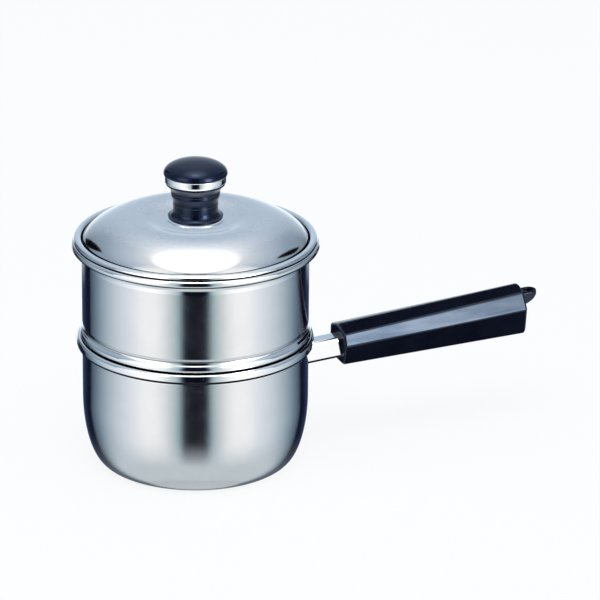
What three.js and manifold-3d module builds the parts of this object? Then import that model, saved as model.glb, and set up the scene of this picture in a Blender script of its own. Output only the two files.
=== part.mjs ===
// Two-tier steamer saucepan: a pot with a side handle, a perforated steamer and a knobbed lid.
// Millimetres, +Z up. The origin is the centre of the pot's underside and the handle runs along +X.

import * as THREE from 'three';
import { mergeVertices, toCreasedNormals } from 'three/addons/utils/BufferGeometryUtils.js';
import Module from 'manifold-3d';

const wasm = await Module();
wasm.setup();

// Sheet metal, fits and facets
const SHEET = 0.7; // wall of the pot and the steamer
const LID_SHEET = 0.6; // wall of the lid
const SEAT_GAP = 0.3; // between pieces that touch
const VESSEL_FACETS = 32;
const KNOB_FACETS = 28;
const SMALL_FACETS = 16;

// Pot
const POT_RADIUS = 70.6; // outside of the straight wall
const POT_HEIGHT = 82.9; // crest of the curled rim
const POT_CORNER_WIDTH = 14.4; // how far the rounded corner eats into the flat base
const POT_CORNER_HEIGHT = 43.7; // where the corner runs out into the straight wall
const POT_RIM_OVERHANG = 3.4; // curl beyond the wall
const POT_RIM_DEPTH = 6.4; // curl from crest to lip
const POT_RIM_LIP = 1.2; // bend radius of the curl's lip

// Steamer
const STEAMER_HEIGHT = 61.8; // from the ledge on the pot's rim to the crest of the upper rim
const STEAMER_NEST = 9; // how deep the floor hangs below the pot's rim
const STEAMER_NEST_CLEARANCE = 0.6; // between the nested skirt and the pot's wall
const STEAMER_FLOOR_CORNER = 5;
const BEAD_OVERHANG = 1.6; // bead beyond the wall
const BEAD_RADIUS = 2; // rounding of the bead's lower edge
const BEAD_HEIGHT = 7; // ledge to the waist above the bead
const BEAD_WAIST = 0.4; // how far the waist draws in
const BEAD_RUNOUT = 5; // waist to straight wall
const MOUTH_OVERHANG = 6.4; // upper rim beyond the wall
const MOUTH_CURL = 5.2; // diameter of the upper rim's curl
const MOUTH_FLARE = 7; // height of the flare below the curl
const STEAM_HOLE = 5; // diameter
const STEAM_HOLE_PITCH = 14; // between the rings of holes
const STEAM_HOLE_RINGS = 3;
const STEAM_HOLE_FACETS = 8;

// Lid
const LID_EDGE_REACH = 1.05; // edge beyond the crest of the steamer's rim
const LID_BEAD_HEIGHT = 2; // bead above its edge
const LID_PLUG_CLEARANCE = 0.7; // between the locating groove and the mouth
const LID_PLUG_DEPTH = 1.9; // groove below the crest of the rim
const LID_GROOVE = 1.6; // width of the groove
const LID_RISE = 15.2; // crest of the dome above the crest of the rim
const LID_CREST_RADIUS = 40;
const LID_DISH = 2.6; // seat of the knob below the crest of the dome
const LID_FULLNESS = 0.48; // share of the crown that runs on level from the crest
const LID_SHOULDER_REACH = 0.87; // where the crown turns down, as a share of its width
const LID_SHOULDER_RISE = 0.4; // and as a share of its height
const LID_SEAT_MARGIN = 1; // flat seat beyond the knob's washer
const LID_HOLE_CLEARANCE = 0.5;

// Knob
const KNOB_SEAT_RADIUS = 17.7;
const KNOB_SEAT_THICKNESS = 0.8;
const STEM_FOOT_RADIUS = 17.1;
const STEM_WAIST_RADIUS = 14;
const STEM_COLLAR_RADIUS = 15.3;
const STEM_TOP_RADIUS = 18.4; // flared edge under the band
const STEM_FOOT_HEIGHT = 6;
const STEM_GROOVE_HEIGHT = 10; // groove round the waist
const STEM_COLLAR_HEIGHT = 17.4; // groove where the flare begins
const STEM_HEIGHT = 23.3;
const STEM_RING_DEPTH = 0.5; // grooves turned in the stem
const STEM_RING_WIDTH = 0.9;
const BAND_SHEET = 0.8;
const BAND_BASE_RADIUS = 17.4; // flat bottom of the dish
const BAND_RIM_RADIUS = 19.4;
const BAND_HEIGHT = 4.6;
const CAP_RADIUS = 19.9;
const CAP_HEIGHT = 9.5; // rim of the band to the top
const CAP_SHOULDER = 1.1; // rim of the band to the widest ring
const SPIGOT_RADIUS = 6; // of the cap, through the band into the stem
const SPIGOT_LENGTH = 8; // below the dish
const INSERT_RADIUS = 3.6;
const INSERT_LENGTH = 11;
const SCREW_RADIUS = 2; // shank of both screws
const SCREW_HEAD_RADIUS = 3.8;
const SCREW_HEAD_HEIGHT = 2.4;
const SCREW_FACE_RADIUS = 2.9; // flat of the head
const WASHER_RADIUS = 4.2;
const WASHER_THICKNESS = 1;
const KNOB_SCREW_LENGTH = 27; // below the head

// Handle, in a frame at the pot's wall with X along the handle
const HANDLE_HEIGHT = 59.7; // axis at the wall
const HANDLE_TILT = 4.3; // degrees above level
const NECK_LENGTH = 25.3; // bare ferrule between the wall and the grip
const NECK_WIDTH = 12.4;
const NECK_HEIGHT = 13.9;
const NECK_CORNER = 2.8;
const NECK_SHEET = 0.8;
const NECK_INSERT = 5; // ferrule inside the grip
const STRAP_WIDTH = 8.6;
const STRAP_THICKNESS = 3;
const STRAP_EDGE = 0.5; // rounding of the strap
const STRAP_REACH = 38; // strap inside the grip
const STRAP_FOOT = 1.6; // thickness of its foot at the wall
const GRIP_LENGTH = 125.8;
const GRIP_TOP_WIDTH_NEAR = 17.2; // top face at the pot's end
const GRIP_TOP_WIDTH_FAR = 5; // top face at the far end
const GRIP_TOP_NEAR = 13.4; // top above the axis at the pot's end
const GRIP_TOP_FAR = 15.4; // top above the axis at the far end
const GRIP_RIDGE_WIDTH = 27;
const GRIP_RIDGE = 2.9; // side ridge above the axis
const GRIP_KEEL_WIDTH = 16;
const GRIP_KEEL_NEAR = 11.8; // keel below the axis at the pot's end
const GRIP_KEEL_FAR = 16.4; // keel below the axis at the far end
const GRIP_EDGE = 1.6; // rounding of the end faces
const GRIP_CROWN = 2.6; // rounding along the top
const GRIP_CORNER = 3; // rounding along the keel
const GRIP_RIDGE_CORNER = 1; // rounding along the ridge
const GRIP_SCREW_SETBACK = 26; // screw behind the grip's front face
const GRIP_SCREW_WALL = 4; // phenolic between the screw's washer and the strap's slot
const LUG_WIDTH = 10.6;
const LUG_REACH = 6.2; // centre of the hanging hole beyond the end face
const LUG_HOLE = 6.6; // diameter
const LUG_TOP = 10.4; // top of the lug above the axis
const LUG_ROOT = 10.1; // height of the lug at the end face
const LUG_TIP = 2.4; // height of the lug at its tip

// Heights and radii that several pieces share
const wallMiddle = POT_RADIUS - SHEET / 2;
const potInside = POT_RADIUS - SHEET;
const ledge = POT_HEIGHT + SEAT_GAP;
const mouthCrest = ledge + STEAMER_HEIGHT;
const curlRadius = MOUTH_CURL / 2;
const curlCentre = new THREE.Vector2(POT_RADIUS + MOUTH_OVERHANG - curlRadius, mouthCrest - curlRadius);
const lidCrest = mouthCrest + LID_RISE;
const lidSeat = lidCrest - LID_DISH;
const stemFoot = lidSeat + KNOB_SEAT_THICKNESS + 2 * SEAT_GAP;
const bandFoot = stemFoot + STEM_HEIGHT + SEAT_GAP;
const bandRim = bandFoot + BAND_HEIGHT;
const screwBore = SCREW_RADIUS + SEAT_GAP;

const at = (r, z) => new THREE.Vector2(r, z);
const degrees = THREE.MathUtils.degToRad;

// Points of an elliptical arc, angles in degrees
function arc(r, z, radiusR, radiusZ, from, to, steps) {
  const curve = new THREE.EllipseCurve(r, z, radiusR, radiusZ, degrees(from), degrees(to), from > to);
  return curve.getPoints(steps);
}

// Points of a curve from start to end that leaves and arrives towards its two guides
function bend(start, leave, arrive, end, steps) {
  return new THREE.CubicBezierCurve(start, leave, arrive, end).getPoints(steps);
}

// One outline from several runs of points, without doubled points
function join(...runs) {
  return runs.flat().filter((point, i, all) => i === 0 || point.distanceTo(all[i - 1]) > 1e-6);
}

// Closed outline of a sheet of even thickness about its middle line
function sheetOutline(path, thickness) {
  const offset = (side) => path.map((point, i) => {
    const arriving = point.clone().sub(path[Math.max(i - 1, 0)]).normalize();
    const leaving = path[Math.min(i + 1, path.length - 1)].clone().sub(point).normalize();
    const along = arriving.clone().add(leaving).normalize();
    const straight = arriving.lengthSq() > 0 ? arriving : leaving;
    const mitre = thickness / 2 / along.dot(straight);
    return at(point.x + side * mitre * along.y, point.y - side * mitre * along.x);
  });
  return [...offset(1), ...offset(-1).reverse()];
}

// Geometry with shared vertices merged and vanished triangles removed
function weld(geometry) {
  geometry.deleteAttribute('normal');
  geometry.deleteAttribute('uv');
  const merged = mergeVertices(geometry, 1e-4);
  const index = merged.index.array;
  const kept = [];
  for (let i = 0; i < index.length; i += 3) {
    const [a, b, c] = index.slice(i, i + 3);
    if (a !== b && b !== c && c !== a) {
      kept.push(a, b, c);
    }
  }
  merged.setIndex(kept);
  return merged;
}

// Solid of revolution about Z from an outline of radii and heights
function revolve(outline, facets) {
  const first = outline[0];
  const last = outline[outline.length - 1];
  const closed = first.x > 0 || last.x > 0 ? [...outline, first] : outline;
  return weld(new THREE.LatheGeometry(closed, facets).rotateX(Math.PI / 2));
}

// Round bar with an optional bore, from a low to a high end
function ring(outer, bore, low, high, facets) {
  return revolve([at(bore, low), at(outer, low), at(outer, high), at(bore, high)], facets);
}

// Outline with rounded corners, from corner points and a radius for each
function roundedShape(corners, radii) {
  const shape = new THREE.Shape();
  corners.forEach((corner, i) => {
    const before = corners[(i + corners.length - 1) % corners.length];
    const after = corners[(i + 1) % corners.length];
    const start = corner.clone().add(before.clone().sub(corner).setLength(radii[i]));
    const end = corner.clone().add(after.clone().sub(corner).setLength(radii[i]));
    if (i === 0) {
      shape.moveTo(start.x, start.y);
    } else {
      shape.lineTo(start.x, start.y);
    }
    shape.quadraticCurveTo(corner.x, corner.y, end.x, end.y);
  });
  shape.closePath();
  return shape;
}

// Rounded rectangle about the axis
function roundedRectangle(width, height, corner) {
  const x = width / 2;
  const y = height / 2;
  return roundedShape([at(-x, -y), at(x, -y), at(x, y), at(-x, y)], [corner, corner, corner, corner]);
}

// Extrusion of a shape that lies across the handle, from one distance along it to another
function alongHandle(shape, from, to) {
  return loft(shape, [{ x: from, inset: 0 }, { x: to, inset: 0 }], (y, z) => [y, z]);
}

// Solid through one copy of a shape for each station along the handle, each placed by a rule
function loft(shape, stations, place) {
  const layers = stations.length - 1;
  const geometry = new THREE.ExtrudeGeometry(shape, {
    depth: layers, steps: layers, bevelEnabled: false, curveSegments: 3,
  });
  const position = geometry.attributes.position;
  for (let i = 0; i < position.count; i += 1) {
    const station = stations[Math.round(position.getZ(i))];
    const [y, z] = place(position.getX(i), position.getY(i), station);
    position.setXYZ(i, station.x, y, z);
  }
  return weld(geometry);
}

// Stations of a bar whose two end faces have rounded edges
function roundedEnds(from, to, edge) {
  const quarter = [0, 30, 60, 90].map((turn) => ({
    run: edge * (1 - Math.cos(degrees(turn))),
    inset: edge * (1 - Math.sin(degrees(turn))),
  }));
  const near = quarter.map(({ run, inset }) => ({ x: from + run, inset }));
  const far = quarter.map(({ run, inset }) => ({ x: to - run, inset }));
  return [...near, ...far.reverse()];
}

function solid(geometry) {
  const vertProperties = new Float32Array(geometry.attributes.position.array);
  const triVerts = new Uint32Array(geometry.index.array);
  return new wasm.Manifold(new wasm.Mesh({ numProp: 3, vertProperties, triVerts }));
}

function surface(manifold) {
  const mesh = manifold.getMesh();
  const geometry = new THREE.BufferGeometry();
  geometry.setAttribute('position', new THREE.BufferAttribute(mesh.vertProperties, 3));
  geometry.setIndex(new THREE.BufferAttribute(mesh.triVerts, 1));
  return geometry;
}

function piece(group, name, geometry, finish) {
  const material = new THREE.MeshStandardMaterial(finish);
  const mesh = new THREE.Mesh(toCreasedNormals(geometry, degrees(30)), material);
  mesh.name = name;
  group.add(mesh);
}

const SATIN_STEEL = { color: 0xb9bcbd, roughness: 0.3, metalness: 1 };
const POLISHED_STEEL = { color: 0xd2d5d7, roughness: 0.08, metalness: 1 };
const PLAIN_STEEL = { color: 0x9fa2a4, roughness: 0.45, metalness: 1 };
const BRASS = { color: 0xb08d4c, roughness: 0.35, metalness: 1 };
const PHENOLIC = { color: 0x0c0d12, roughness: 0.18, metalness: 0 };

// Pot: flat base, deep rounded corner, straight wall and a rim curled outwards
function potBody() {
  const bendRadius = POT_RIM_OVERHANG / 2;
  const curlOutside = wallMiddle + POT_RIM_OVERHANG;
  const base = SHEET / 2;
  const crest = POT_HEIGHT - SHEET / 2;
  const lip = POT_HEIGHT - POT_RIM_DEPTH + SHEET / 2;
  const flatRadius = POT_RADIUS - POT_CORNER_WIDTH;
  const path = join(
    [at(0, base)],
    arc(flatRadius, POT_CORNER_HEIGHT, wallMiddle - flatRadius, POT_CORNER_HEIGHT - base, -90, 0, 8),
    arc(wallMiddle + bendRadius, crest - bendRadius, bendRadius, bendRadius, 180, 0, 6),
    arc(curlOutside - POT_RIM_LIP, lip + POT_RIM_LIP, POT_RIM_LIP, POT_RIM_LIP, 0, -100, 3),
  );
  return revolve(sheetOutline(path, SHEET), VESSEL_FACETS);
}

// Steamer: perforated floor, nested skirt, ledge and bead, straight wall, flared mouth with a curl
function steamerBody() {
  const floor = POT_HEIGHT - STEAMER_NEST;
  const skirt = potInside - STEAMER_NEST_CLEARANCE - SHEET / 2;
  const shelf = ledge + SHEET / 2;
  const bead = POT_RADIUS + BEAD_OVERHANG - SHEET / 2;
  const waist = wallMiddle - BEAD_WAIST;
  const waistHeight = ledge + BEAD_HEIGHT;
  const fillet = STEAMER_NEST_CLEARANCE;
  const corner = STEAMER_FLOOR_CORNER;
  const curl = curlRadius - SHEET / 2;
  const mouth = curlCentre.x - curl;
  const guide = (waistHeight - shelf - BEAD_RADIUS) / 2;
  const path = join(
    [at(0, floor)],
    arc(skirt - corner, floor + corner, corner, corner, -90, 0, 3),
    arc(skirt + fillet, shelf - fillet, fillet, fillet, 180, 90, 1),
    arc(bead - BEAD_RADIUS, shelf + BEAD_RADIUS, BEAD_RADIUS, BEAD_RADIUS, -90, 0, 3),
    bend(at(bead, shelf + BEAD_RADIUS), at(bead, waistHeight - guide),
      at(waist, waistHeight - guide), at(waist, waistHeight), 4),
    [at(wallMiddle, waistHeight + BEAD_RUNOUT)],
    bend(at(wallMiddle, curlCentre.y - MOUTH_FLARE), at(wallMiddle, curlCentre.y - MOUTH_FLARE / 2),
      at(mouth, curlCentre.y - MOUTH_FLARE / 2), at(mouth, curlCentre.y), 3),
    arc(curlCentre.x, curlCentre.y, curl, curl, 180, -110, 7),
  );
  let body = solid(revolve(sheetOutline(path, SHEET), VESSEL_FACETS));
  const hole = ring(STEAM_HOLE / 2, 0, floor - SHEET, floor + SHEET, STEAM_HOLE_FACETS);
  for (let row = 0; row <= STEAM_HOLE_RINGS; row += 1) {
    const count = Math.max(6 * row, 1);
    for (let i = 0; i < count; i += 1) {
      const turn = 2 * Math.PI * i / count;
      const reach = row * STEAM_HOLE_PITCH;
      const cutter = hole.clone().translate(reach * Math.cos(turn), reach * Math.sin(turn), 0);
      body = body.subtract(solid(cutter));
    }
  }
  return surface(body);
}

// Lid: seat for the knob, shallow dish, domed crown, locating groove and a bead that ends on the rim
function lidShell() {
  const half = LID_SHEET / 2;
  const seat = lidSeat - half;
  const crest = lidCrest - half;
  const seatEdge = KNOB_SEAT_RADIUS + LID_SEAT_MARGIN;
  const grooveOuter = curlCentre.x - curlRadius - LID_PLUG_CLEARANCE - half;
  const grooveRadius = LID_GROOVE / 2;
  const grooveInner = grooveOuter - LID_GROOVE;
  const grooveCentre = mouthCrest - LID_PLUG_DEPTH + half + grooveRadius;
  const domeFoot = mouthCrest + LID_PLUG_DEPTH;
  const edge = curlCentre.x + LID_EDGE_REACH;
  const contact = LID_EDGE_REACH - half;
  const edgeFoot = curlCentre.y + Math.sqrt(curlRadius ** 2 - contact ** 2) + SEAT_GAP;
  const span = edge - grooveOuter;
  const dish = (LID_CREST_RADIUS - seatEdge) / 2;
  const crown = grooveInner - LID_CREST_RADIUS;
  const shoulder = domeFoot + (crest - domeFoot) * LID_SHOULDER_RISE;
  const path = join(
    [at(SCREW_RADIUS + LID_HOLE_CLEARANCE, seat)],
    bend(at(seatEdge, seat), at(seatEdge + dish, seat),
      at(LID_CREST_RADIUS - dish, crest), at(LID_CREST_RADIUS, crest), 3),
    bend(at(LID_CREST_RADIUS, crest), at(LID_CREST_RADIUS + crown * LID_FULLNESS, crest),
      at(LID_CREST_RADIUS + crown * LID_SHOULDER_REACH, shoulder), at(grooveInner, domeFoot), 6),
    arc(grooveOuter - grooveRadius, grooveCentre, grooveRadius, grooveRadius, 180, 360, 4),
    arc(grooveOuter + span / 2, edgeFoot + half, span / 2, LID_BEAD_HEIGHT, 180, 0, 6),
    [at(edge, edgeFoot)],
  );
  return revolve(sheetOutline(path, LID_SHEET), VESSEL_FACETS);
}

// Stem: flared foot and top, turned grooves, socket for the cap's spigot and a bore for the screw
function knobStem() {
  const top = stemFoot + STEM_HEIGHT;
  const foot = stemFoot + STEM_FOOT_HEIGHT;
  const collar = stemFoot + STEM_COLLAR_HEIGHT;
  const flare = STEM_FOOT_RADIUS - STEM_WAIST_RADIUS;
  const flareFoot = collar + STEM_RING_WIDTH / 2;
  const flareTop = top - STEM_RING_WIDTH;
  const socket = SPIGOT_RADIUS + SEAT_GAP;
  const socketFloor = bandFoot - SPIGOT_LENGTH - SEAT_GAP;
  const groove = (z, r) => [
    at(r, z - STEM_RING_WIDTH / 2),
    at(r - STEM_RING_DEPTH, z),
    at(r, z + STEM_RING_WIDTH / 2),
  ];
  const outline = join(
    [at(screwBore, stemFoot), at(STEM_FOOT_RADIUS - STEM_RING_WIDTH, stemFoot)],
    [at(STEM_FOOT_RADIUS, stemFoot + STEM_RING_WIDTH)],
    arc(STEM_FOOT_RADIUS, foot, flare, STEM_FOOT_HEIGHT - 2 * STEM_RING_WIDTH, 270, 180, 3),
    groove(stemFoot + STEM_GROOVE_HEIGHT, STEM_WAIST_RADIUS),
    groove(collar, STEM_COLLAR_RADIUS),
    bend(at(STEM_COLLAR_RADIUS, flareFoot), at(STEM_COLLAR_RADIUS, (flareFoot + flareTop) / 2),
      at(STEM_TOP_RADIUS, flareTop), at(STEM_TOP_RADIUS, flareTop), 3),
    [at(STEM_TOP_RADIUS, top), at(socket, top), at(socket, socketFloor), at(screwBore, socketFloor)],
  );
  return revolve(outline, KNOB_FACETS);
}

// Band: a bright dish with an upright rim, clamped between the stem and the cap
function knobBand() {
  const half = BAND_SHEET / 2;
  const bore = SPIGOT_RADIUS + SEAT_GAP;
  const rim = BAND_RIM_RADIUS - half;
  const rise = BAND_HEIGHT - half;
  const path = join(
    [at(bore, bandFoot + half)],
    bend(at(BAND_BASE_RADIUS, bandFoot + half), at(rim - half, bandFoot + half),
      at(rim, bandFoot + half), at(rim, bandFoot + rise / 2), 3),
    [at(rim, bandFoot + half + rise)],
  );
  return revolve(sheetOutline(path, BAND_SHEET), KNOB_FACETS);
}

// Cap: domed top, a body that fills the band's dish and a spigot that holds the insert
function knobCap() {
  const fit = BAND_SHEET + 2 * SEAT_GAP;
  const widest = bandRim + CAP_SHOULDER;
  const rim = bandRim + SEAT_GAP;
  const pocket = INSERT_RADIUS + SEAT_GAP;
  const spigotFoot = bandFoot - SPIGOT_LENGTH;
  const outline = join(
    [at(pocket, spigotFoot), at(SPIGOT_RADIUS, spigotFoot), at(SPIGOT_RADIUS, bandFoot + fit)],
    [at(BAND_BASE_RADIUS - fit, bandFoot + fit), at(BAND_RIM_RADIUS - fit, rim)],
    [at(BAND_RIM_RADIUS, rim)],
    arc(0, widest, CAP_RADIUS, bandRim + CAP_HEIGHT - widest, 0, 90, 6),
    [at(0, spigotFoot + INSERT_LENGTH + SEAT_GAP), at(pocket, spigotFoot + INSERT_LENGTH + SEAT_GAP)],
  );
  return revolve(outline, KNOB_FACETS);
}

// Screw with a low round head, its shank running up from the head's seat
function screw(seat, length) {
  const dome = SCREW_HEAD_HEIGHT / 3;
  return revolve(join(
    [at(0, seat - SCREW_HEAD_HEIGHT), at(SCREW_FACE_RADIUS, seat - SCREW_HEAD_HEIGHT)],
    [at(SCREW_HEAD_RADIUS, seat - SCREW_HEAD_HEIGHT + dome), at(SCREW_HEAD_RADIUS, seat)],
    [at(SCREW_RADIUS, seat), at(SCREW_RADIUS, seat + length), at(0, seat + length)],
  ), SMALL_FACETS);
}

// Upright cutter with the pot's wall and its gap, seen from the handle's own frame
function wallCutter() {
  const radius = POT_RADIUS + SEAT_GAP;
  const geometry = ring(radius, 0, -POT_HEIGHT, POT_HEIGHT, 4 * VESSEL_FACETS);
  geometry.translate(-POT_RADIUS, 0, 0);
  geometry.rotateY(degrees(HANDLE_TILT));
  return solid(geometry);
}

// Ferrule: rounded square sleeve fitted to the wall at one end and let into the grip at the other
function handleFerrule() {
  const end = NECK_LENGTH + NECK_INSERT;
  const behind = -NECK_HEIGHT;
  const outside = alongHandle(roundedRectangle(NECK_WIDTH, NECK_HEIGHT, NECK_CORNER), behind, end);
  const inside = alongHandle(roundedRectangle(NECK_WIDTH - 2 * NECK_SHEET, NECK_HEIGHT - 2 * NECK_SHEET,
    NECK_CORNER - NECK_SHEET / 2), 2 * behind, end + NECK_INSERT);
  return surface(solid(outside).subtract(solid(inside)).subtract(wallCutter()));
}

// Bracket: foot against the wall and a flat strap that reaches into the grip
function handleBracket() {
  const fit = 2 * (NECK_SHEET + SEAT_GAP);
  const footWidth = NECK_WIDTH - fit;
  const footHeight = NECK_HEIGHT - fit;
  const corner = NECK_CORNER - NECK_SHEET;
  const foot = alongHandle(roundedRectangle(footWidth, footHeight, corner), -NECK_HEIGHT, STRAP_FOOT);
  const strap = alongHandle(roundedRectangle(STRAP_WIDTH, STRAP_THICKNESS, STRAP_EDGE),
    -NECK_HEIGHT / 2, NECK_LENGTH + STRAP_REACH);
  const hole = ring(screwBore, 0, -STRAP_THICKNESS, STRAP_THICKNESS, SMALL_FACETS);
  hole.translate(NECK_LENGTH + GRIP_SCREW_SETBACK, 0, 0);
  return surface(solid(foot).add(solid(strap)).subtract(wallCutter()).subtract(solid(hole)));
}

// Hanging lug: a tongue with a round tip, flat on top and sloping up underneath, with its hole
function hangingLug(endFace) {
  const root = endFace - 2 * GRIP_EDGE;
  const hole = endFace + LUG_REACH;
  const tip = hole + LUG_WIDTH / 2;
  const plan = new THREE.Shape();
  plan.moveTo(root, -LUG_WIDTH / 2);
  plan.absarc(hole, 0, LUG_WIDTH / 2, -Math.PI / 2, Math.PI / 2, false);
  plan.lineTo(root, LUG_WIDTH / 2);
  const depth = 2 * LUG_ROOT;
  const upright = new THREE.ExtrudeGeometry(plan, { depth, bevelEnabled: false, curveSegments: 6 });
  upright.translate(0, 0, LUG_TOP - depth);
  const side = new THREE.Shape([
    at(root, LUG_TOP - LUG_ROOT), at(endFace, LUG_TOP - LUG_ROOT), at(tip, LUG_TOP - LUG_TIP),
    at(tip + LUG_TIP, LUG_TOP - LUG_TIP), at(tip + LUG_TIP, LUG_TOP), at(root, LUG_TOP),
  ]);
  const profile = new THREE.ExtrudeGeometry(side, { depth: 2 * LUG_WIDTH, bevelEnabled: false });
  profile.rotateX(Math.PI / 2).translate(0, LUG_WIDTH, 0);
  const bore = ring(LUG_HOLE / 2, 0, -2 * LUG_ROOT, 2 * LUG_ROOT, SMALL_FACETS);
  bore.translate(hole, 0, 0);
  const tongue = solid(weld(upright)).intersect(solid(weld(profile)));
  return { tongue, bore: solid(bore) };
}

// Grip: six-sided bar that deepens and narrows at the top away from the pot, hollow for ferrule and strap
function handleGrip() {
  const front = NECK_LENGTH;
  const endFace = front + GRIP_LENGTH;
  const corners = [
    at(-GRIP_KEEL_WIDTH / 2, -GRIP_KEEL_NEAR), at(GRIP_KEEL_WIDTH / 2, -GRIP_KEEL_NEAR),
    at(GRIP_RIDGE_WIDTH / 2, GRIP_RIDGE), at(GRIP_TOP_WIDTH_NEAR / 2, GRIP_TOP_NEAR),
    at(-GRIP_TOP_WIDTH_NEAR / 2, GRIP_TOP_NEAR), at(-GRIP_RIDGE_WIDTH / 2, GRIP_RIDGE),
  ];
  const radii = [GRIP_CORNER, GRIP_CORNER, GRIP_RIDGE_CORNER, GRIP_CROWN, GRIP_CROWN, GRIP_RIDGE_CORNER];
  const deepening = (GRIP_KEEL_FAR - GRIP_KEEL_NEAR) / (GRIP_KEEL_NEAR + GRIP_RIDGE);
  const lifting = (GRIP_TOP_FAR - GRIP_TOP_NEAR) / (GRIP_TOP_NEAR - GRIP_RIDGE);
  const narrowing = 1 - GRIP_TOP_WIDTH_FAR / GRIP_TOP_WIDTH_NEAR;
  const stations = roundedEnds(front, endFace, GRIP_EDGE);
  const bar = loft(roundedShape(corners, radii), stations, (y, z, { x, inset }) => {
    const shrink = 1 - inset / (GRIP_RIDGE_WIDTH / 2);
    const along = (x - front) / GRIP_LENGTH;
    const share = Math.max(z - GRIP_RIDGE, 0) / (GRIP_TOP_NEAR - GRIP_RIDGE);
    const rise = (z - GRIP_RIDGE) * (1 + (z > GRIP_RIDGE ? lifting : deepening) * along);
    return [y * (1 - narrowing * share * along) * shrink, GRIP_RIDGE + rise * shrink];
  });
  const wide = 2 * SEAT_GAP;
  const pocket = alongHandle(roundedRectangle(NECK_WIDTH + wide, NECK_HEIGHT + wide, NECK_CORNER),
    front - GRIP_EDGE, front + NECK_INSERT + SEAT_GAP);
  const slot = alongHandle(roundedRectangle(STRAP_WIDTH + wide, STRAP_THICKNESS + wide, STRAP_EDGE),
    front, front + STRAP_REACH + SEAT_GAP);
  const screwAt = front + GRIP_SCREW_SETBACK;
  const washerSeat = -STRAP_THICKNESS / 2 - SEAT_GAP - GRIP_SCREW_WALL;
  const bore = ring(screwBore, 0, washerSeat - SEAT_GAP, STRAP_THICKNESS / 2 + 2 * SEAT_GAP, SMALL_FACETS);
  const counterbore = ring(WASHER_RADIUS + SEAT_GAP, 0, -2 * GRIP_KEEL_FAR, washerSeat, SMALL_FACETS);
  bore.translate(screwAt, 0, 0);
  counterbore.translate(screwAt, 0, 0);
  const lug = hangingLug(endFace);
  return surface([pocket, slot, bore, counterbore].reduce(
    (body, cut) => body.subtract(solid(cut)), solid(bar).add(lug.tongue).subtract(lug.bore)));
}

function buildHandle(group) {
  const handle = new THREE.Group();
  handle.position.set(POT_RADIUS, 0, HANDLE_HEIGHT);
  handle.rotation.y = -degrees(HANDLE_TILT);
  group.add(handle);
  const washerTop = -STRAP_THICKNESS / 2 - GRIP_SCREW_WALL - 2 * SEAT_GAP;
  const headSeat = washerTop - WASHER_THICKNESS - SEAT_GAP;
  const screwAt = NECK_LENGTH + GRIP_SCREW_SETBACK;
  const screwTip = STRAP_THICKNESS / 2 + SEAT_GAP;
  const gripScrew = screw(headSeat, screwTip - headSeat);
  const washer = ring(WASHER_RADIUS, screwBore, washerTop - WASHER_THICKNESS, washerTop, SMALL_FACETS);
  piece(handle, 'handle_ferrule', handleFerrule(), POLISHED_STEEL);
  piece(handle, 'handle_bracket', handleBracket(), PLAIN_STEEL);
  piece(handle, 'handle_grip', handleGrip(), PHENOLIC);
  piece(handle, 'handle_screw', gripScrew.translate(screwAt, 0, 0), PLAIN_STEEL);
  piece(handle, 'handle_lock_washer', washer.translate(screwAt, 0, 0), PLAIN_STEEL);
}

function buildLid(group) {
  const under = lidSeat - LID_SHEET - SEAT_GAP;
  const washerFoot = under - WASHER_THICKNESS;
  const spigotFoot = bandFoot - SPIGOT_LENGTH;
  const seatFoot = lidSeat + SEAT_GAP;
  const insert = ring(INSERT_RADIUS, screwBore, spigotFoot, spigotFoot + INSERT_LENGTH, SMALL_FACETS);
  const seat = ring(KNOB_SEAT_RADIUS, screwBore, seatFoot, seatFoot + KNOB_SEAT_THICKNESS, KNOB_FACETS);
  const washer = ring(WASHER_RADIUS, screwBore, washerFoot, under, SMALL_FACETS);
  piece(group, 'lid_shell', lidShell(), SATIN_STEEL);
  piece(group, 'knob_seat', seat, POLISHED_STEEL);
  piece(group, 'knob_stem', knobStem(), PHENOLIC);
  piece(group, 'knob_band', knobBand(), POLISHED_STEEL);
  piece(group, 'knob_cap', knobCap(), PHENOLIC);
  piece(group, 'knob_insert', insert, BRASS);
  piece(group, 'knob_screw', screw(washerFoot - SEAT_GAP, KNOB_SCREW_LENGTH), PLAIN_STEEL);
  piece(group, 'knob_lock_washer', washer, PLAIN_STEEL);
}

const steamerPot = new THREE.Group();
piece(steamerPot, 'pot_body', potBody(), SATIN_STEEL);
buildHandle(steamerPot);
piece(steamerPot, 'steamer_body', steamerBody(), SATIN_STEEL);
buildLid(steamerPot);

export default steamerPot;
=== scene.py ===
"""Two-tier steamer saucepan: every piece with its finish, on a pale floor in a plain photo studio.

The pieces' sizes are in millimetres on the classes and become metres as each piece is placed; the studio's
are in metres. +Z is up, the origin is the centre of the pot's underside, and the handle runs along +X.
"""

import logging
import math
from dataclasses import dataclass, field
from enum import Enum
from typing import Any, Optional, Sequence

import bmesh
import bpy
from mathutils import Matrix, Vector
from mathutils.geometry import interpolate_bezier


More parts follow.
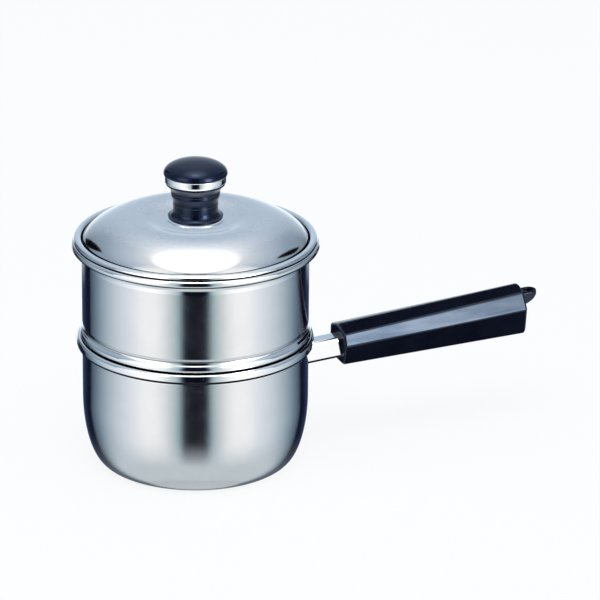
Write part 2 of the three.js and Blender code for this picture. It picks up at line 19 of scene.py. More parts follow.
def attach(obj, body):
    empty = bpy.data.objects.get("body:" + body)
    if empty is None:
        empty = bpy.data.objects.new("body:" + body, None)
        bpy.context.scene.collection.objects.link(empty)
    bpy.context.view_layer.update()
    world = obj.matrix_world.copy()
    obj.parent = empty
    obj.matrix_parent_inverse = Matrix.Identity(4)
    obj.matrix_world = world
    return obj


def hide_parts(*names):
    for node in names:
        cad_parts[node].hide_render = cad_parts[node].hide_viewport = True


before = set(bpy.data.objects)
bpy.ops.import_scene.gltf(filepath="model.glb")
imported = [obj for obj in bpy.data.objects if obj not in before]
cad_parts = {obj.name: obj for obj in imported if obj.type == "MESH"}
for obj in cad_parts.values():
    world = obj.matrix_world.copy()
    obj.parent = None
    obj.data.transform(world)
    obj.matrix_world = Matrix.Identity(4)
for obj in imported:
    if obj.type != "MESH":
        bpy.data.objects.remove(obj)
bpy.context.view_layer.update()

log = logging.getLogger("steamer_pot")

Point = tuple[float, float]
Triple = tuple[float, float, float]
Colour = tuple[float, float, float]
Socket = bpy.types.NodeSocket
Blank = bmesh.types.BMesh

MM = 0.001
SEAT_GAP = 0.3  # clearance between pieces that are fitted together
CUT_EDGE = 0.15  # rounding of a sheet's cut edges
WELD = 1e-4  # points closer than this become one
CREASE = 32.0  # degrees between two faces from which their edge is drawn sharp
ROUND_HANDLE = 0.5523  # length of a curve's handle that makes a quarter of an ellipse
ORIGIN = (0.0, 0.0, 0.0)
UP = (0.0, 0.0, 1.0)
MIDDLE_NOISE = (0.35, 0.65)  # where most values of a noise texture lie
WHITE = (1.0, 1.0, 1.0)
SATIN = (0.72, 0.73, 0.74)
BRIGHT = (0.84, 0.85, 0.86)
PAINTED_SHADE = (0.012, 0.013, 0.017)  # painted shade in the creases under rims and edges
BLACK_CLOTH = (0.004, 0.005, 0.012)
MIRROR = 0.06  # roughness of polished rings
MATT = 0.4  # roughness of the rings of painted shade


class Body(Enum):
    """Moving bodies of the frame."""

    POT = "pot"
    STEAMER = "steamer"
    LID = "lid"


class Slot(Enum):
    """Material slots of the record."""

    SATIN_STEEL = "satin_steel"
    POLISHED_STEEL = "polished_steel"
    PLAIN_STEEL = "plain_steel"
    PHENOLIC = "phenolic"
    BRASS = "brass"


class Cut(Enum):
    """Ways of working one solid into another."""

    JOIN = "UNION"
    REMOVE = "DIFFERENCE"


def opaque(colour: Colour) -> tuple[float, ...]:
    """Return a colour with the fourth part that a colour socket takes."""
    return (*colour, 1.0)


def turns(span: Point) -> Point:
    """Return two angles of degrees in radians."""
    return math.radians(span[0]), math.radians(span[1])


class Nodes:
    """A node tree with short calls to add and wire its nodes."""

    def __init__(self, tree: bpy.types.NodeTree) -> None:
        """Start on an emptied tree."""
        self.tree = tree
        tree.nodes.clear()

    def add(self, kind: str, feeds: Optional[dict[Any, Any]] = None, **settings: Any) -> bpy.types.Node:
        """Add one node.

        Args:
            kind: Type name of the node.
            feeds: Input name or number with the socket that feeds it, or with its plain value.
            settings: Properties of the node.

        Returns:
            The node.
        """
        node = self.tree.nodes.new(kind)
        for name, value in settings.items():
            setattr(node, name, value)
        for name, value in (feeds or {}).items():
            if isinstance(value, Socket):
                self.tree.links.new(value, node.inputs[name])
            else:
                node.inputs[name].default_value = value
        return node

    def math(self, operation: str, *values: Any) -> Socket:
        """Add one sum of sockets or numbers and return its result."""
        return self.add("ShaderNodeMath", dict(enumerate(values)), operation=operation).outputs[0]

    def vector(self, operation: str, *values: Any) -> Socket:
        """Add one sum of vectors and return the number it gives."""
        node = self.add("ShaderNodeVectorMath", dict(enumerate(values)), operation=operation)
        return node.outputs["Value"]

    def product(self, first: Any, *others: Any) -> Any:
        """Multiply sockets or numbers.

        Args:
            first: The first of them.
            others: All the others.

        Returns:
            The result.
        """
        for other in others:
            first = self.math("MULTIPLY", first, other)
        return first

    def spread(self, value: Any, low: float, high: float, start: float = 0.0, end: float = 1.0) -> Socket:
        """Map a value that runs from low to high onto start to end, clamped, and return the result."""
        feeds = {"Value": value, "From Min": low, "From Max": high, "To Min": start, "To Max": end}
        return self.add("ShaderNodeMapRange", feeds).outputs["Result"]

    def window(self, value: Any, rise: Point, fall: Point) -> Socket:
        """Return a mask that comes in over the rise of a value and goes out over its fall."""
        return self.product(self.spread(value, *rise), self.spread(value, *fall, 1.0, 0.0))

    def blend(self, share: Any, first: Any, second: Any) -> Socket:
        """Mix two colours by a share and return the colour."""
        feeds = {"Factor": share, "A": first, "B": second}
        return self.add("ShaderNodeMix", feeds, data_type="RGBA").outputs["Result"]

    def mix(self, share: Any, first: bpy.types.Node, second: bpy.types.Node) -> bpy.types.Node:
        """Mix two shaders by a share and return the mix."""
        return self.add("ShaderNodeMixShader", {0: share, 1: first.outputs[0], 2: second.outputs[0]})

    def noise(self, place: Socket, scale: Any, detail: float, roughness: float = 0.5,
              distortion: float = 0.0) -> Socket:
        """Add a noise texture.

        Args:
            place: Place that the noise is taken at.
            scale: How fine the noise is.
            detail: Layers of finer noise.
            roughness: Strength of the finer layers.
            distortion: How far the noise is warped.

        Returns:
            The value of the noise.
        """
        feeds = {"Vector": place, "Scale": scale, "Detail": detail, "Roughness": roughness,
                 "Distortion": distortion}
        return self.add("ShaderNodeTexNoise", feeds).outputs[0]

    def place(self) -> Socket:
        """Return the place on the object."""
        return self.add("ShaderNodeTexCoord").outputs["Object"]

    def parts(self, vector: Socket) -> Any:
        """Return the outputs X, Y and Z of a vector."""
        return self.add("ShaderNodeSeparateXYZ", {0: vector}).outputs

    def facing(self) -> Socket:
        """Return a value that grows from 0 to 1 as the surface turns edge-on."""
        return self.add("ShaderNodeLayerWeight", {"Blend": 0.5}).outputs["Facing"]

    def ramp(self, value: Any, stops: Sequence[tuple[float, Colour]]) -> Socket:
        """Add a colour ramp.

        Args:
            value: Socket that runs from 0 to 1.
            stops: Place and colour of each stop, in order.

        Returns:
            The colour.
        """
        node = self.add("ShaderNodeValToRGB", {0: value})
        elements = node.color_ramp.elements
        while len(elements) < len(stops):
            elements.new(1.0)
        for element, (place, colour) in zip(elements, stops):
            element.position = place
            element.color = opaque(colour)
        return node.outputs["Color"]

    def finish(self, shader: bpy.types.Node, kind: str = "ShaderNodeOutputMaterial") -> None:
        """Wire a shader to the tree's output."""
        self.add(kind, {"Surface": shader.outputs[0]})


def new_material(name: str) -> tuple[bpy.types.Material, Nodes]:
    """Make an empty material.

    Args:
        name: Name of the material.

    Returns:
        The material and its nodes.
    """
    material = bpy.data.materials.new(name)
    material.use_nodes = True
    return material, Nodes(material.node_tree)


def node_group(name: str, inputs: dict[str, str],
               outputs: Sequence[str]) -> tuple[bpy.types.NodeTree, Nodes]:
    """Make an empty shader node group.

    Args:
        name: Name of the group.
        inputs: Name and socket type of each input.
        outputs: Name of each output, which are all plain values.

    Returns:
        The group's tree and its nodes.
    """
    group = bpy.data.node_groups.new(name, "ShaderNodeTree")
    for socket, kind in inputs.items():
        group.interface.new_socket(name=socket, in_out="INPUT", socket_type=kind)
    for socket in outputs:
        group.interface.new_socket(name=socket, in_out="OUTPUT", socket_type="NodeSocketFloat")
    return group, Nodes(group)


class Effects:
    """Surface effects that several finishes share, each built once as a node group."""

    RING_DRIFT = 6.0  # changes in a ring on its way round, per radian
    HAIRLINE_TURN = (0.5, 0.9, 0.3)
    HAIRLINE_SCALE = (22.0, 900.0, 900.0)  # long one way and fine the other two
    HAIRLINE_NOISE = (0.66, 0.74)  # only the peaks of the noise become hairlines

    def __init__(self) -> None:
        """Build the groups."""
        self.grain = self._turned_grain()
        self.marks = self._handling_marks()

    def _turned_grain(self) -> bpy.types.NodeTree:
        """Build fine rings round the pot's axis, such as a polishing wheel leaves.

        Returns:
            The group.
        """
        inputs = {"Vector": "NodeSocketVector", "Pitch": "NodeSocketFloat"}
        group, nodes = node_group("Turned Grain", inputs, ["Height"])
        inlet = nodes.add("NodeGroupInput").outputs
        place = nodes.parts(inlet["Vector"])
        reach = nodes.math("SQRT", nodes.math("ADD", nodes.math("POWER", place["X"], 2.0),
                                              nodes.math("POWER", place["Y"], 2.0)))
        rings = nodes.add("ShaderNodeCombineXYZ", {
            "X": nodes.math("MULTIPLY", reach, inlet["Pitch"]),
            "Y": nodes.math("MULTIPLY", nodes.math("ARCTAN2", place["Y"], place["X"]), self.RING_DRIFT),
            "Z": nodes.math("MULTIPLY", place["Z"], inlet["Pitch"]),
        })
        nodes.add("NodeGroupOutput", {"Height": nodes.noise(rings.outputs[0], 1.0, detail=4.0)})
        return group

    def _handling_marks(self) -> bpy.types.NodeTree:
        """Build the cloudy smears and fine hairlines of use.

        Returns:
            The group.
        """
        inputs = {"Vector": "NodeSocketVector", "Size": "NodeSocketFloat"}
        group, nodes = node_group("Handling Marks", inputs, ["Smear", "Hairline"])
        inlet = nodes.add("NodeGroupInput").outputs
        cloud = nodes.noise(inlet["Vector"], inlet["Size"], detail=5.0, roughness=0.6, distortion=0.8)
        skew = nodes.add("ShaderNodeMapping", {
            "Vector": inlet["Vector"], "Rotation": self.HAIRLINE_TURN, "Scale": self.HAIRLINE_SCALE})
        lines = nodes.noise(skew.outputs[0], 1.0, detail=2.0)
        nodes.add("NodeGroupOutput", {
            "Smear": nodes.spread(cloud, *MIDDLE_NOISE),
            "Hairline": nodes.spread(lines, *self.HAIRLINE_NOISE),
        })
        return group


@dataclass(frozen=True)
class Band:
    """A ring of a steel piece with a surface of its own, placed in millimetres."""

    low: float
    high: float
    colour: Colour
    roughness: float
    inner: float = 0.0
    outer: float = 1000.0
    fade: float = 0.4  # width of the change at each side

    def mask(self, nodes: Nodes, height: Socket, reach: Socket) -> Socket:
        """Build the mask of the ring.

        Args:
            nodes: Tree of the material.
            height: Height on the piece, in metres.
            reach: Distance from the pot's axis, in metres.

        Returns:
            A value that is 1 on the ring and 0 elsewhere.
        """
        return nodes.product(nodes.window(height, self._edge(self.low), self._edge(self.high)),
                             nodes.window(reach, self._edge(self.inner), self._edge(self.outer)))

    def _edge(self, place: float) -> Point:
        """Return the start and the end of the change at one side of the ring, in metres."""
        return (place - self.fade / 2) * MM, (place + self.fade / 2) * MM


@dataclass(frozen=True)
class SteelFinish:
    """A bare metal surface with turned grain, marks of use, rings of other polish and dark rings of painted
    shade.
    """

    MARK_SIZE = 38.0
    HAIRLINE_ROUGHNESS = 0.05
    GRAIN_NOISE = (0.3, 0.7)
    GRAIN_ROUGHNESS = 0.02  # change of roughness between the rings of the grain
    GRAIN_DEPTH = 0.00002
    SMEAR_SHADE = 0.965  # what a smear leaves of the colour
    LEVEL = 0.5  # height of a surface without grain
    SLANT = (0.62, 0.85)  # from here on the surface is seen at a slant
    SLANT_ROUGHNESS = 0.3  # what a slant leaves of the roughness

    name: str
    slot: Slot
    colour: Colour
    roughness: float
    smeared: float  # roughness where it has been touched
    grain: float  # strength of the turned rings
    pitch: float  # rings per metre, roughly
    bands: tuple[Band, ...] = ()

    def material(self, effects: Effects) -> bpy.types.Material:
        """Build the material.

        Args:
            effects: The shared node groups.

        Returns:
            The material.
        """
        material, nodes = new_material(self.name)
        place = nodes.place()
        grain = nodes.add("ShaderNodeGroup", {"Vector": place, "Pitch": self.pitch}, node_tree=effects.grain)
        marks = nodes.add("ShaderNodeGroup", {"Vector": place, "Size": self.MARK_SIZE},
                          node_tree=effects.marks)
        relief = grain.outputs["Height"]
        smear = marks.outputs["Smear"]
        rough = nodes.spread(smear, 0.0, 1.0, self.roughness, self.smeared)
        rough = nodes.math("MULTIPLY_ADD", marks.outputs["Hairline"], self.HAIRLINE_ROUGHNESS, rough)
        rough = nodes.math("ADD", rough, nodes.spread(relief, *self.GRAIN_NOISE, -self.GRAIN_ROUGHNESS,
                                                      self.GRAIN_ROUGHNESS))
        slant = nodes.spread(nodes.facing(), *self.SLANT, 1.0, self.SLANT_ROUGHNESS)
        rough = nodes.math("MULTIPLY", rough, slant)
        shaded = tuple(self.SMEAR_SHADE * part for part in self.colour)
        tone = nodes.ramp(smear, [(0.0, self.colour), (1.0, shaded)])
        spot = nodes.parts(place)
        flat = nodes.add("ShaderNodeCombineXYZ", {"X": spot["X"], "Y": spot["Y"]})
        reach = nodes.vector("LENGTH", flat.outputs[0])
        for band in self.bands:
            mask = band.mask(nodes, spot["Z"], reach)
            rough = self._moved(nodes, rough, band.roughness, mask)
            relief = self._moved(nodes, relief, self.LEVEL, mask)
            # the near-black bands paint shade into the colour; the bright ones are polish
            tone = nodes.blend(mask, tone, opaque(band.colour))
        bump = nodes.add("ShaderNodeBump", {
            "Height": relief, "Strength": self.grain, "Distance": self.GRAIN_DEPTH})
        nodes.finish(nodes.add("ShaderNodeBsdfPrincipled", {
            "Base Color": tone, "Roughness": rough, "Metallic": 1.0, "Normal": bump.outputs[0]}))
        return material

    @staticmethod
    def _moved(nodes: Nodes, value: Socket, other: float, share: Socket) -> Socket:
        """Return a value moved towards another one by a share."""
        return nodes.math("MULTIPLY_ADD", nodes.math("SUBTRACT", other, value), share, value)


@dataclass(frozen=True)
class PhenolicFinish:
    """Pressed black phenolic: glossy, faintly rippled, with a little dust in the gloss."""

    MARK_SIZE = 55.0
    HAIRLINE_ROUGHNESS = 0.08
    RIPPLE_SCALE = 420.0
    RIPPLE_STRENGTH = 0.12
    RIPPLE_DEPTH = 0.00004
    STREAK_SCALE = (40.0, 210.0, 210.0)  # long along the handle
    POLISH_ROUGHNESS = 0.14

    name: str = "Black phenolic"
    slot: Slot = Slot.PHENOLIC
    colour: Colour = (0.0042, 0.0055, 0.0125)
    dusty: Colour = (0.0058, 0.0074, 0.0155)
    roughness: float = 0.12
    smeared: float = 0.18
    specular: float = 0.5
    gloss_tint: Colour = (0.5, 0.7, 1.0)  # the resin's bluish gloss
    polish: float = 0.3  # gloss that hands have rubbed into it

    def material(self, effects: Effects) -> bpy.types.Material:
        """Build the material.

        Args:
            effects: The shared node groups.

        Returns:
            The material.
        """
        material, nodes = new_material(self.name)
        place = nodes.place()
        marks = nodes.add("ShaderNodeGroup", {"Vector": place, "Size": self.MARK_SIZE},
                          node_tree=effects.marks)
        smear = marks.outputs["Smear"]
        rough = nodes.spread(smear, 0.0, 1.0, self.roughness, self.smeared)
        rough = nodes.math("MULTIPLY_ADD", marks.outputs["Hairline"], self.HAIRLINE_ROUGHNESS, rough)
        rubbed = nodes.add("ShaderNodeMapping", {"Vector": place, "Scale": self.STREAK_SCALE})
        streak = nodes.noise(rubbed.outputs[0], 1.0, detail=4.0)
        bump = nodes.add("ShaderNodeBump", {
            "Height": nodes.noise(place, self.RIPPLE_SCALE, detail=2.0),
            "Strength": self.RIPPLE_STRENGTH, "Distance": self.RIPPLE_DEPTH})
        nodes.finish(nodes.add("ShaderNodeBsdfPrincipled", {
            "Base Color": nodes.ramp(smear, [(0.0, self.colour), (1.0, self.dusty)]),
            "Roughness": rough, "Specular IOR Level": self.specular,
            "Specular Tint": opaque(self.gloss_tint),
            "Coat Weight": nodes.spread(streak, *MIDDLE_NOISE, 0.0, self.polish),
            "Coat Roughness": self.POLISH_ROUGHNESS, "Normal": bump.outputs[0]}))
        return material


class Profile:
    """Line of radii and heights that a turned or pressed piece is spun from."""

    def __init__(self, *stops: Point) -> None:
        """Start with straight runs between the given stops."""
        self.points: list[Vector] = []
        self.to(*stops)

    def to(self, *stops: Point) -> "Profile":
        """Go on straight to each stop in turn."""
        self.points += [Vector((r, 0.0, z)) for r, z in stops]
        return self

    def bend(self, leave: Point, arrive: Point, end: Point, steps: int = 16) -> "Profile":
        """Go on in a smooth curve.

        Args:
            leave: Guide that the curve leaves towards.
            arrive: Guide that the curve arrives from.
            end: Where the curve ends.
            steps: Straight steps in the curve.

        Returns:
            This profile.
        """
        knots = [self.points[-1], *(Vector((r, 0.0, z)) for r, z in (leave, arrive, end))]
        self.points += interpolate_bezier(*knots, steps + 1)[1:]
        return self

    def round(self, corner: Point, end: Point, steps: int = 8) -> "Profile":
        """Go on round a corner in a quarter of an ellipse.

        Args:
            corner: The sharp corner that is rounded off.
            end: Where the curve ends.
            steps: Straight steps in the curve.

        Returns:
            This profile.
        """
        start = self.points[-1]
        leave, arrive = (tuple(a + (b - a) * ROUND_HANDLE for a, b in zip(place, corner))
                         for place in ((start.x, start.z), end))
        return self.bend(leave, arrive, end, steps)

    def spun(self, steps: int, closed: bool = False) -> Blank:
        """Spin the profile round the upright axis.

        Args:
            steps: Steps in a full turn.
            closed: Whether the last point joins the first.

        Returns:
            The blank, in millimetres.
        """
        blank = bmesh.new()
        verts = [blank.verts.new(point) for point in self.points]
        edges = [blank.edges.new(pair) for pair in zip(verts, verts[1:])]
        if closed:
            edges.append(blank.edges.new((verts[-1], verts[0])))
        bmesh.ops.spin(blank, geom=verts + edges, cent=ORIGIN, axis=UP, angle=math.tau, steps=steps,
                       use_merge=True)
        bmesh.ops.remove_doubles(blank, verts=blank.verts, dist=WELD)
        outward(blank)
        return blank


def outward(blank: Blank) -> None:
    """Turn all faces of a blank outwards."""
    bmesh.ops.recalc_face_normals(blank, faces=blank.faces)


def new_verts(made: Sequence[Any]) -> list[bmesh.types.BMVert]:
    """Return the vertices among what a mesh operator made."""
    return [item for item in made if isinstance(item, bmesh.types.BMVert)]


def soften(blank: Blank, radius: float, steps: int = 3, sharper_than: float = 40.0) -> None:
    """Round the sharp edges of a blank.

    Args:
        blank: The blank, in millimetres.
        radius: Size of the rounding.
        steps: Segments in the rounding.
        sharper_than: Degrees between two faces from which their edge is rounded.
    """
    limit = math.radians(sharper_than)
    edges = [edge for edge in blank.edges if len(edge.link_faces) == 2 and edge.calc_face_angle() > limit]
    bmesh.ops.bevel(blank, geom=edges, offset=radius, offset_type="OFFSET", affect="EDGES", segments=steps,
                    profile=0.5, material=-1, clamp_overlap=True)


def round_corners(blank: Blank, verts: Sequence[bmesh.types.BMVert], radius: float, steps: int) -> None:
    """Round corners of a flat face.

    Args:
        blank: The blank with the face.
        verts: The corners.
        radius: How far each rounding reaches along its sides.
        steps: Segments in the rounding.
    """
    bmesh.ops.bevel(blank, geom=list(verts), offset=radius, offset_type="OFFSET", affect="VERTICES",
                    segments=steps, profile=0.5, material=-1)


def linked(blank: Blank, name: str, mesh_name: str) -> bpy.types.Object:
    """Turn a blank into an object of the scene.

    Args:
        blank: The blank, which is freed.
        name: Name of the object.
        mesh_name: Name of its mesh.

    Returns:
        The object.
    """
    mesh = bpy.data.meshes.new(mesh_name)
    blank.to_mesh(mesh)
    blank.free()
    made = bpy.data.objects.new(name, mesh)
    bpy.context.scene.collection.objects.link(made)
    return made


def worked(blank: Blank, tool: Blank, cut: Cut) -> Blank:
    """Join one solid to another, or cut it away.

    Args:
        blank: The solid that is worked on.
        tool: The solid that is joined or taken away.
        cut: Which of the two is done.

    Returns:
        A new blank.
    """
    objects = []
    for name, solid in (("blank", blank), ("tool", tool)):
        outward(solid)
        objects.append(linked(solid, name, name))
    modifier = objects[0].modifiers.new(cut.name, "BOOLEAN")
    modifier.operation = cut.value
    modifier.solver = "EXACT"
    modifier.object = objects[1]
    shaped = objects[0].evaluated_get(bpy.context.evaluated_depsgraph_get())
    result = bmesh.new()
    result.from_mesh(shaped.to_mesh())
    shaped.to_mesh_clear()
    for mesh in [item.data for item in objects]:
        bpy.data.meshes.remove(mesh)
    return result


def place_piece(blank: Blank, node: str, body: Body,
                material: bpy.types.Material) -> bpy.types.Object:
    """Turn a blank into the piece that stands for one node of the frame.

    Args:
        blank: The blank, in millimetres.
        node: Node of the frame that the piece replaces, which also names it.
        body: Body that the piece rides on.
        material: Material of the piece.

    Returns:
        The piece.
    """
    bmesh.ops.scale(blank, vec=(MM, MM, MM), verts=blank.verts)
    limit = math.radians(CREASE)
    for face in blank.faces:
        face.smooth = True
    for edge in blank.edges:
        edge.smooth = len(edge.link_faces) == 2 and edge.calc_face_angle() < limit
    piece = linked(blank, node + "_visual", node)
    piece.data.materials.append(material)
    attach(piece, body.value)
    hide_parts(node)
    log.info("%s: %d faces", piece.name, len(piece.data.polygons))
    return piece


def sheet(piece: bpy.types.Object, thickness: float, edge: float) -> None:
    """Give a spun middle line its wall, with the cut edges of the sheet rounded.

    Args:
        piece: The piece.
        thickness: Wall, in millimetres.
        edge: Rounding of the cut edges, in millimetres.
    """
    wall = piece.modifiers.new("Wall", "SOLIDIFY")
    wall.thickness = thickness * MM
    wall.offset = 0.0
    wall.use_even_offset = True
    rounding = piece.modifiers.new("Cut edges", "BEVEL")
    rounding.width = edge * MM
    rounding.segments = 2
    rounding.limit_method = "ANGLE"
    rounding.angle_limit = math.radians(60.0)
    rounding.harden_normals = True


def flat_facets(piece: bpy.types.Object) -> None:
    """Keep the flat faces of a rounded bar evenly lit up to their rounded edges."""
    facets = piece.modifiers.new("Flat facets", "WEIGHTED_NORMAL")
    facets.keep_sharp = True


def rounded_rectangle(x: float, width: float, height: float, corner: float, cuts: int = 0) -> Blank:
    """Make a face across the handle with rounded corners.

    Args:
        x: Distance along the handle.
        width: Size across the handle.
        height: Upright size.
        corner: How far each rounding reaches along its sides.
        cuts: Extra vertices along each side.

    Returns:
        The blank.
    """
    blank = bmesh.new()
    side, rise = width / 2, height / 2
    corners = ((-side, -rise), (side, -rise), (side, rise), (-side, rise))
    verts = [blank.verts.new((x, y, z)) for y, z in corners]
    blank.faces.new(verts)
    round_corners(blank, verts, corner, steps=6)
    if cuts:
        longest = [edge for edge in blank.edges if edge.calc_length() > corner]
        bmesh.ops.subdivide_edges(blank, edges=longest, cuts=cuts)
    return blank


def extruded(blank: Blank) -> list[bmesh.types.BMVert]:
    """Extrude all faces of a blank and return the new vertices, which are still to be moved."""
    return new_verts(bmesh.ops.extrude_face_region(blank, geom=list(blank.faces))["geom"])


def drawn(blank: Blank, length: float) -> Blank:
    """Draw the faces of a blank out along the handle into a solid.

    Args:
        blank: The blank with the faces.
        length: How far they are drawn out.

    Returns:
        The blank.
    """
    bmesh.ops.translate(blank, vec=(length, 0.0, 0.0), verts=extruded(blank))
    outward(blank)
    return blank


@dataclass
class Fastener:
    """Round-headed screw with a cross recess and its split lock washer."""

    shank: float = 2.0
    head: float = 3.8
    head_height: float = 2.4
    face: float = 2.9
    washer: float = 4.2
    washer_bore: float = 2.3
    washer_thickness: float = 1.0
    washer_split: float = 9.0  # degrees
    recess: float = 1.9
    recess_width: float = 0.8
    recess_taper: float = 0.45
    steps: int = 40
    washer_steps: int = 48

    def screw(self, seat: float, length: float) -> Blank:
        """Build the screw.

        Args:
            seat: Height of the head's seat; the head hangs below it.
            length: Shank above the seat.

        Returns:
            The blank.
        """
        low = seat - self.head_height
        profile = Profile((0.0, low), (self.face, low))
        profile.round((self.head, low), (self.head, seat - self.head_height / 2))
        profile.to((self.head, seat), (self.shank, seat), (self.shank, seat + length - self.shank / 2))
        profile.to((self.shank / 2, seat + length), (0.0, seat + length))
        blank = profile.spun(self.steps)
        for turn in (0.0, math.pi / 2):
            blank = worked(blank, self._recess_arm(low, turn), Cut.REMOVE)
        return blank

    def _recess_arm(self, low: float, turn: float) -> Blank:
        """Build one arm of the cross-shaped driver, tapered upwards.

        Args:
            low: Height of the head's lowest face.
            turn: Angle of the arm round the axis.

        Returns:
            The arm.
        """
        arm = bmesh.new()
        place = Matrix.Translation((0.0, 0.0, low)) @ Matrix.Rotation(turn, 4, "Z")
        size = (2 * self.recess, self.recess_width, self.head_height)
        bmesh.ops.create_cube(arm, size=1.0, matrix=place @ Matrix.Diagonal((*size, 1.0)))
        tip = [vert for vert in arm.verts if vert.co.z > low]
        bmesh.ops.scale(arm, vec=(self.recess_taper, self.recess_taper, 1.0), verts=tip)
        return arm

    def lock_washer(self, foot: float) -> Blank:
        """Build the split ring.

        Args:
            foot: Height that it stands on.

        Returns:
            The blank.
        """
        top = foot + self.washer_thickness
        blank = bmesh.new()
        verts = [blank.verts.new((r, 0.0, z)) for r, z in (
            (self.washer_bore, foot), (self.washer, foot), (self.washer, top), (self.washer_bore, top))]
        section = blank.faces.new(verts)
        bmesh.ops.spin(blank, geom=[section], cent=ORIGIN, axis=UP, steps=self.washer_steps, use_merge=False,
                       angle=math.tau - math.radians(self.washer_split))
        bmesh.ops.remove_doubles(blank, verts=blank.verts, dist=WELD)
        outward(blank)
        soften(blank, CUT_EDGE, steps=2)
        return blank


class SheetPiece:
    """A piece of one drawn sheet, spun from the middle line of that sheet."""

    node: str
    body: Body
    sheet: float

    def blank(self) -> Blank:
        """Return the spun middle line of the sheet."""
        raise NotImplementedError

    def build(self, finish: SteelFinish, effects: Effects) -> None:
        """Build the piece and dress it.

        Args:
            finish: Finish of the piece.
            effects: The shared node groups.
        """
        piece = place_piece(self.blank(), self.node, self.body, finish.material(effects))
        sheet(piece, self.sheet, CUT_EDGE)


@dataclass
class Pot(SheetPiece):
    """Deep round pot with a rounded corner, a straight wall and a rim curled outwards."""

    node = "pot_body"
    body = Body.POT

    sheet: float = 0.7
    radius: float = 70.6
    height: float = 82.9
    corner_width: float = 14.4
    corner_height: float = 43.7
    rim_overhang: float = 3.4
    rim_depth: float = 6.4
    rim_lip: float = 1.2
    base_step: float = 0.35  # pressed ring that stiffens the base
    base_step_radius: float = 42.0
    base_step_run: float = 3.0  # half the width of its slope
    steps: int = 176

    def blank(self) -> Blank:
        """Spin the middle line of the sheet.

        Returns:
            The blank.
        """
        half = self.sheet / 2
        wall = self.radius - half
        flat = self.radius - self.corner_width
        crest = self.height - half
        bend = self.rim_overhang / 2
        outside = wall + self.rim_overhang
        lip = self.height - self.rim_depth + half
        ring, run, guide = self.base_step_radius, self.base_step_run, self.base_step_run / 3
        raised = half + self.base_step
        profile = Profile((0.0, raised), (ring - run, raised))
        profile.bend((ring - guide, raised), (ring + guide, half), (ring + run, half), steps=6)
        profile.to((flat, half)).round((wall, half), (wall, self.corner_height), steps=28)
        profile.to((wall, crest - bend)).round((wall, crest), (wall + bend, crest))
        profile.round((outside, crest), (outside, crest - bend))
        profile.to((outside, lip + self.rim_lip)).round((outside, lip), (outside - self.rim_lip, lip))
        return profile.spun(self.steps)


@dataclass
class Steamer(SheetPiece):
    """Perforated tier that nests in the pot and carries the lid."""

    node = "steamer_body"
    body = Body.STEAMER

    sheet: float = 0.7
    ledge: float = 83.2
    floor: float = 73.9
    floor_corner: float = 5.0
    skirt: float = 68.95
    fillet: float = 0.6
    wall: float = 70.25
    bead: float = 71.85
    bead_radius: float = 2.0
    waist: float = 69.85
    waist_height: float = 89.9
    runout: float = 3.0
    mouth: float = 72.15
    mouth_flare: float = 7.0
    curl: float = 2.25
    curl_height: float = 142.4
    hole: float = 5.0
    hole_pitch: float = 14.0
    hole_rings: int = 3
    hole_steps: int = 24
    steps: int = 176

    def blank(self) -> Blank:
        """Spin the middle line of the sheet and fill its perforated floor.

        Returns:
            The blank.
        """
        blank = self._wall_profile().spun(self.steps)
        self._fill_floor(blank)
        outward(blank)
        return blank

    def _wall_profile(self) -> Profile:
        """Draw the middle line of the sheet from the edge of the floor to the lip of the mouth.

        Returns:
            The profile.
        """
        shelf = self.ledge + self.sheet / 2
        inner = self.skirt - self.floor_corner
        shoulder = shelf + self.bead_radius
        guide = (shoulder + self.waist_height) / 2
        straight = self.waist_height + self.runout
        ease = self.waist_height + self.runout / 2
        flare = self.curl_height - self.mouth_flare
        middle = flare + self.mouth_flare / 2
        centre = self.mouth + self.curl
        high, low = self.curl_height + self.curl, self.curl_height - self.curl
        outside = centre + self.curl
        profile = Profile((inner, self.floor))
        profile.round((self.skirt, self.floor), (self.skirt, self.floor + self.floor_corner))
        profile.to((self.skirt, shelf - self.fillet))
        profile.round((self.skirt, shelf), (self.skirt + self.fillet, shelf), steps=4)
        profile.to((self.bead - self.bead_radius, shelf)).round((self.bead, shelf), (self.bead, shoulder))
        profile.bend((self.bead, guide), (self.waist, guide), (self.waist, self.waist_height))
        profile.bend((self.waist, ease), (self.wall, ease), (self.wall, straight), steps=8)
        profile.to((self.wall, flare))
        profile.bend((self.wall, middle), (self.mouth, middle), (self.mouth, self.curl_height), steps=12)
        profile.round((self.mouth, high), (centre, high)).round((outside, high), (outside, self.curl_height))
        profile.round((outside, low), (centre, low))
        return profile

    def _fill_floor(self, blank: Blank) -> None:
        """Fill the floor inside the wall's lowest ring, leaving the steam holes open.

        Args:
            blank: The spun wall.
        """
        margin = 0.1  # keeps the whole of the ring in
        inside = self.skirt - self.floor_corner + margin
        edges = [edge for edge in blank.edges
                 if edge.is_boundary and all(vert.co.xy.length < inside for vert in edge.verts)]
        for ring in range(self.hole_rings + 1):
            count = max(6 * ring, 1)  # six more in each ring round the middle one
            for number in range(count):
                turn = Matrix.Rotation(math.tau * number / count, 4, "Z")
                place = turn @ Matrix.Translation((ring * self.hole_pitch, 0.0, self.floor))
                hole = bmesh.ops.create_circle(blank, cap_ends=False, radius=self.hole / 2,
                                               segments=self.hole_steps, matrix=place)
                edges += {edge for vert in hole["verts"] for edge in vert.link_edges}
        bmesh.ops.triangle_fill(blank, use_beauty=True, use_dissolve=False, edges=edges, normal=UP)


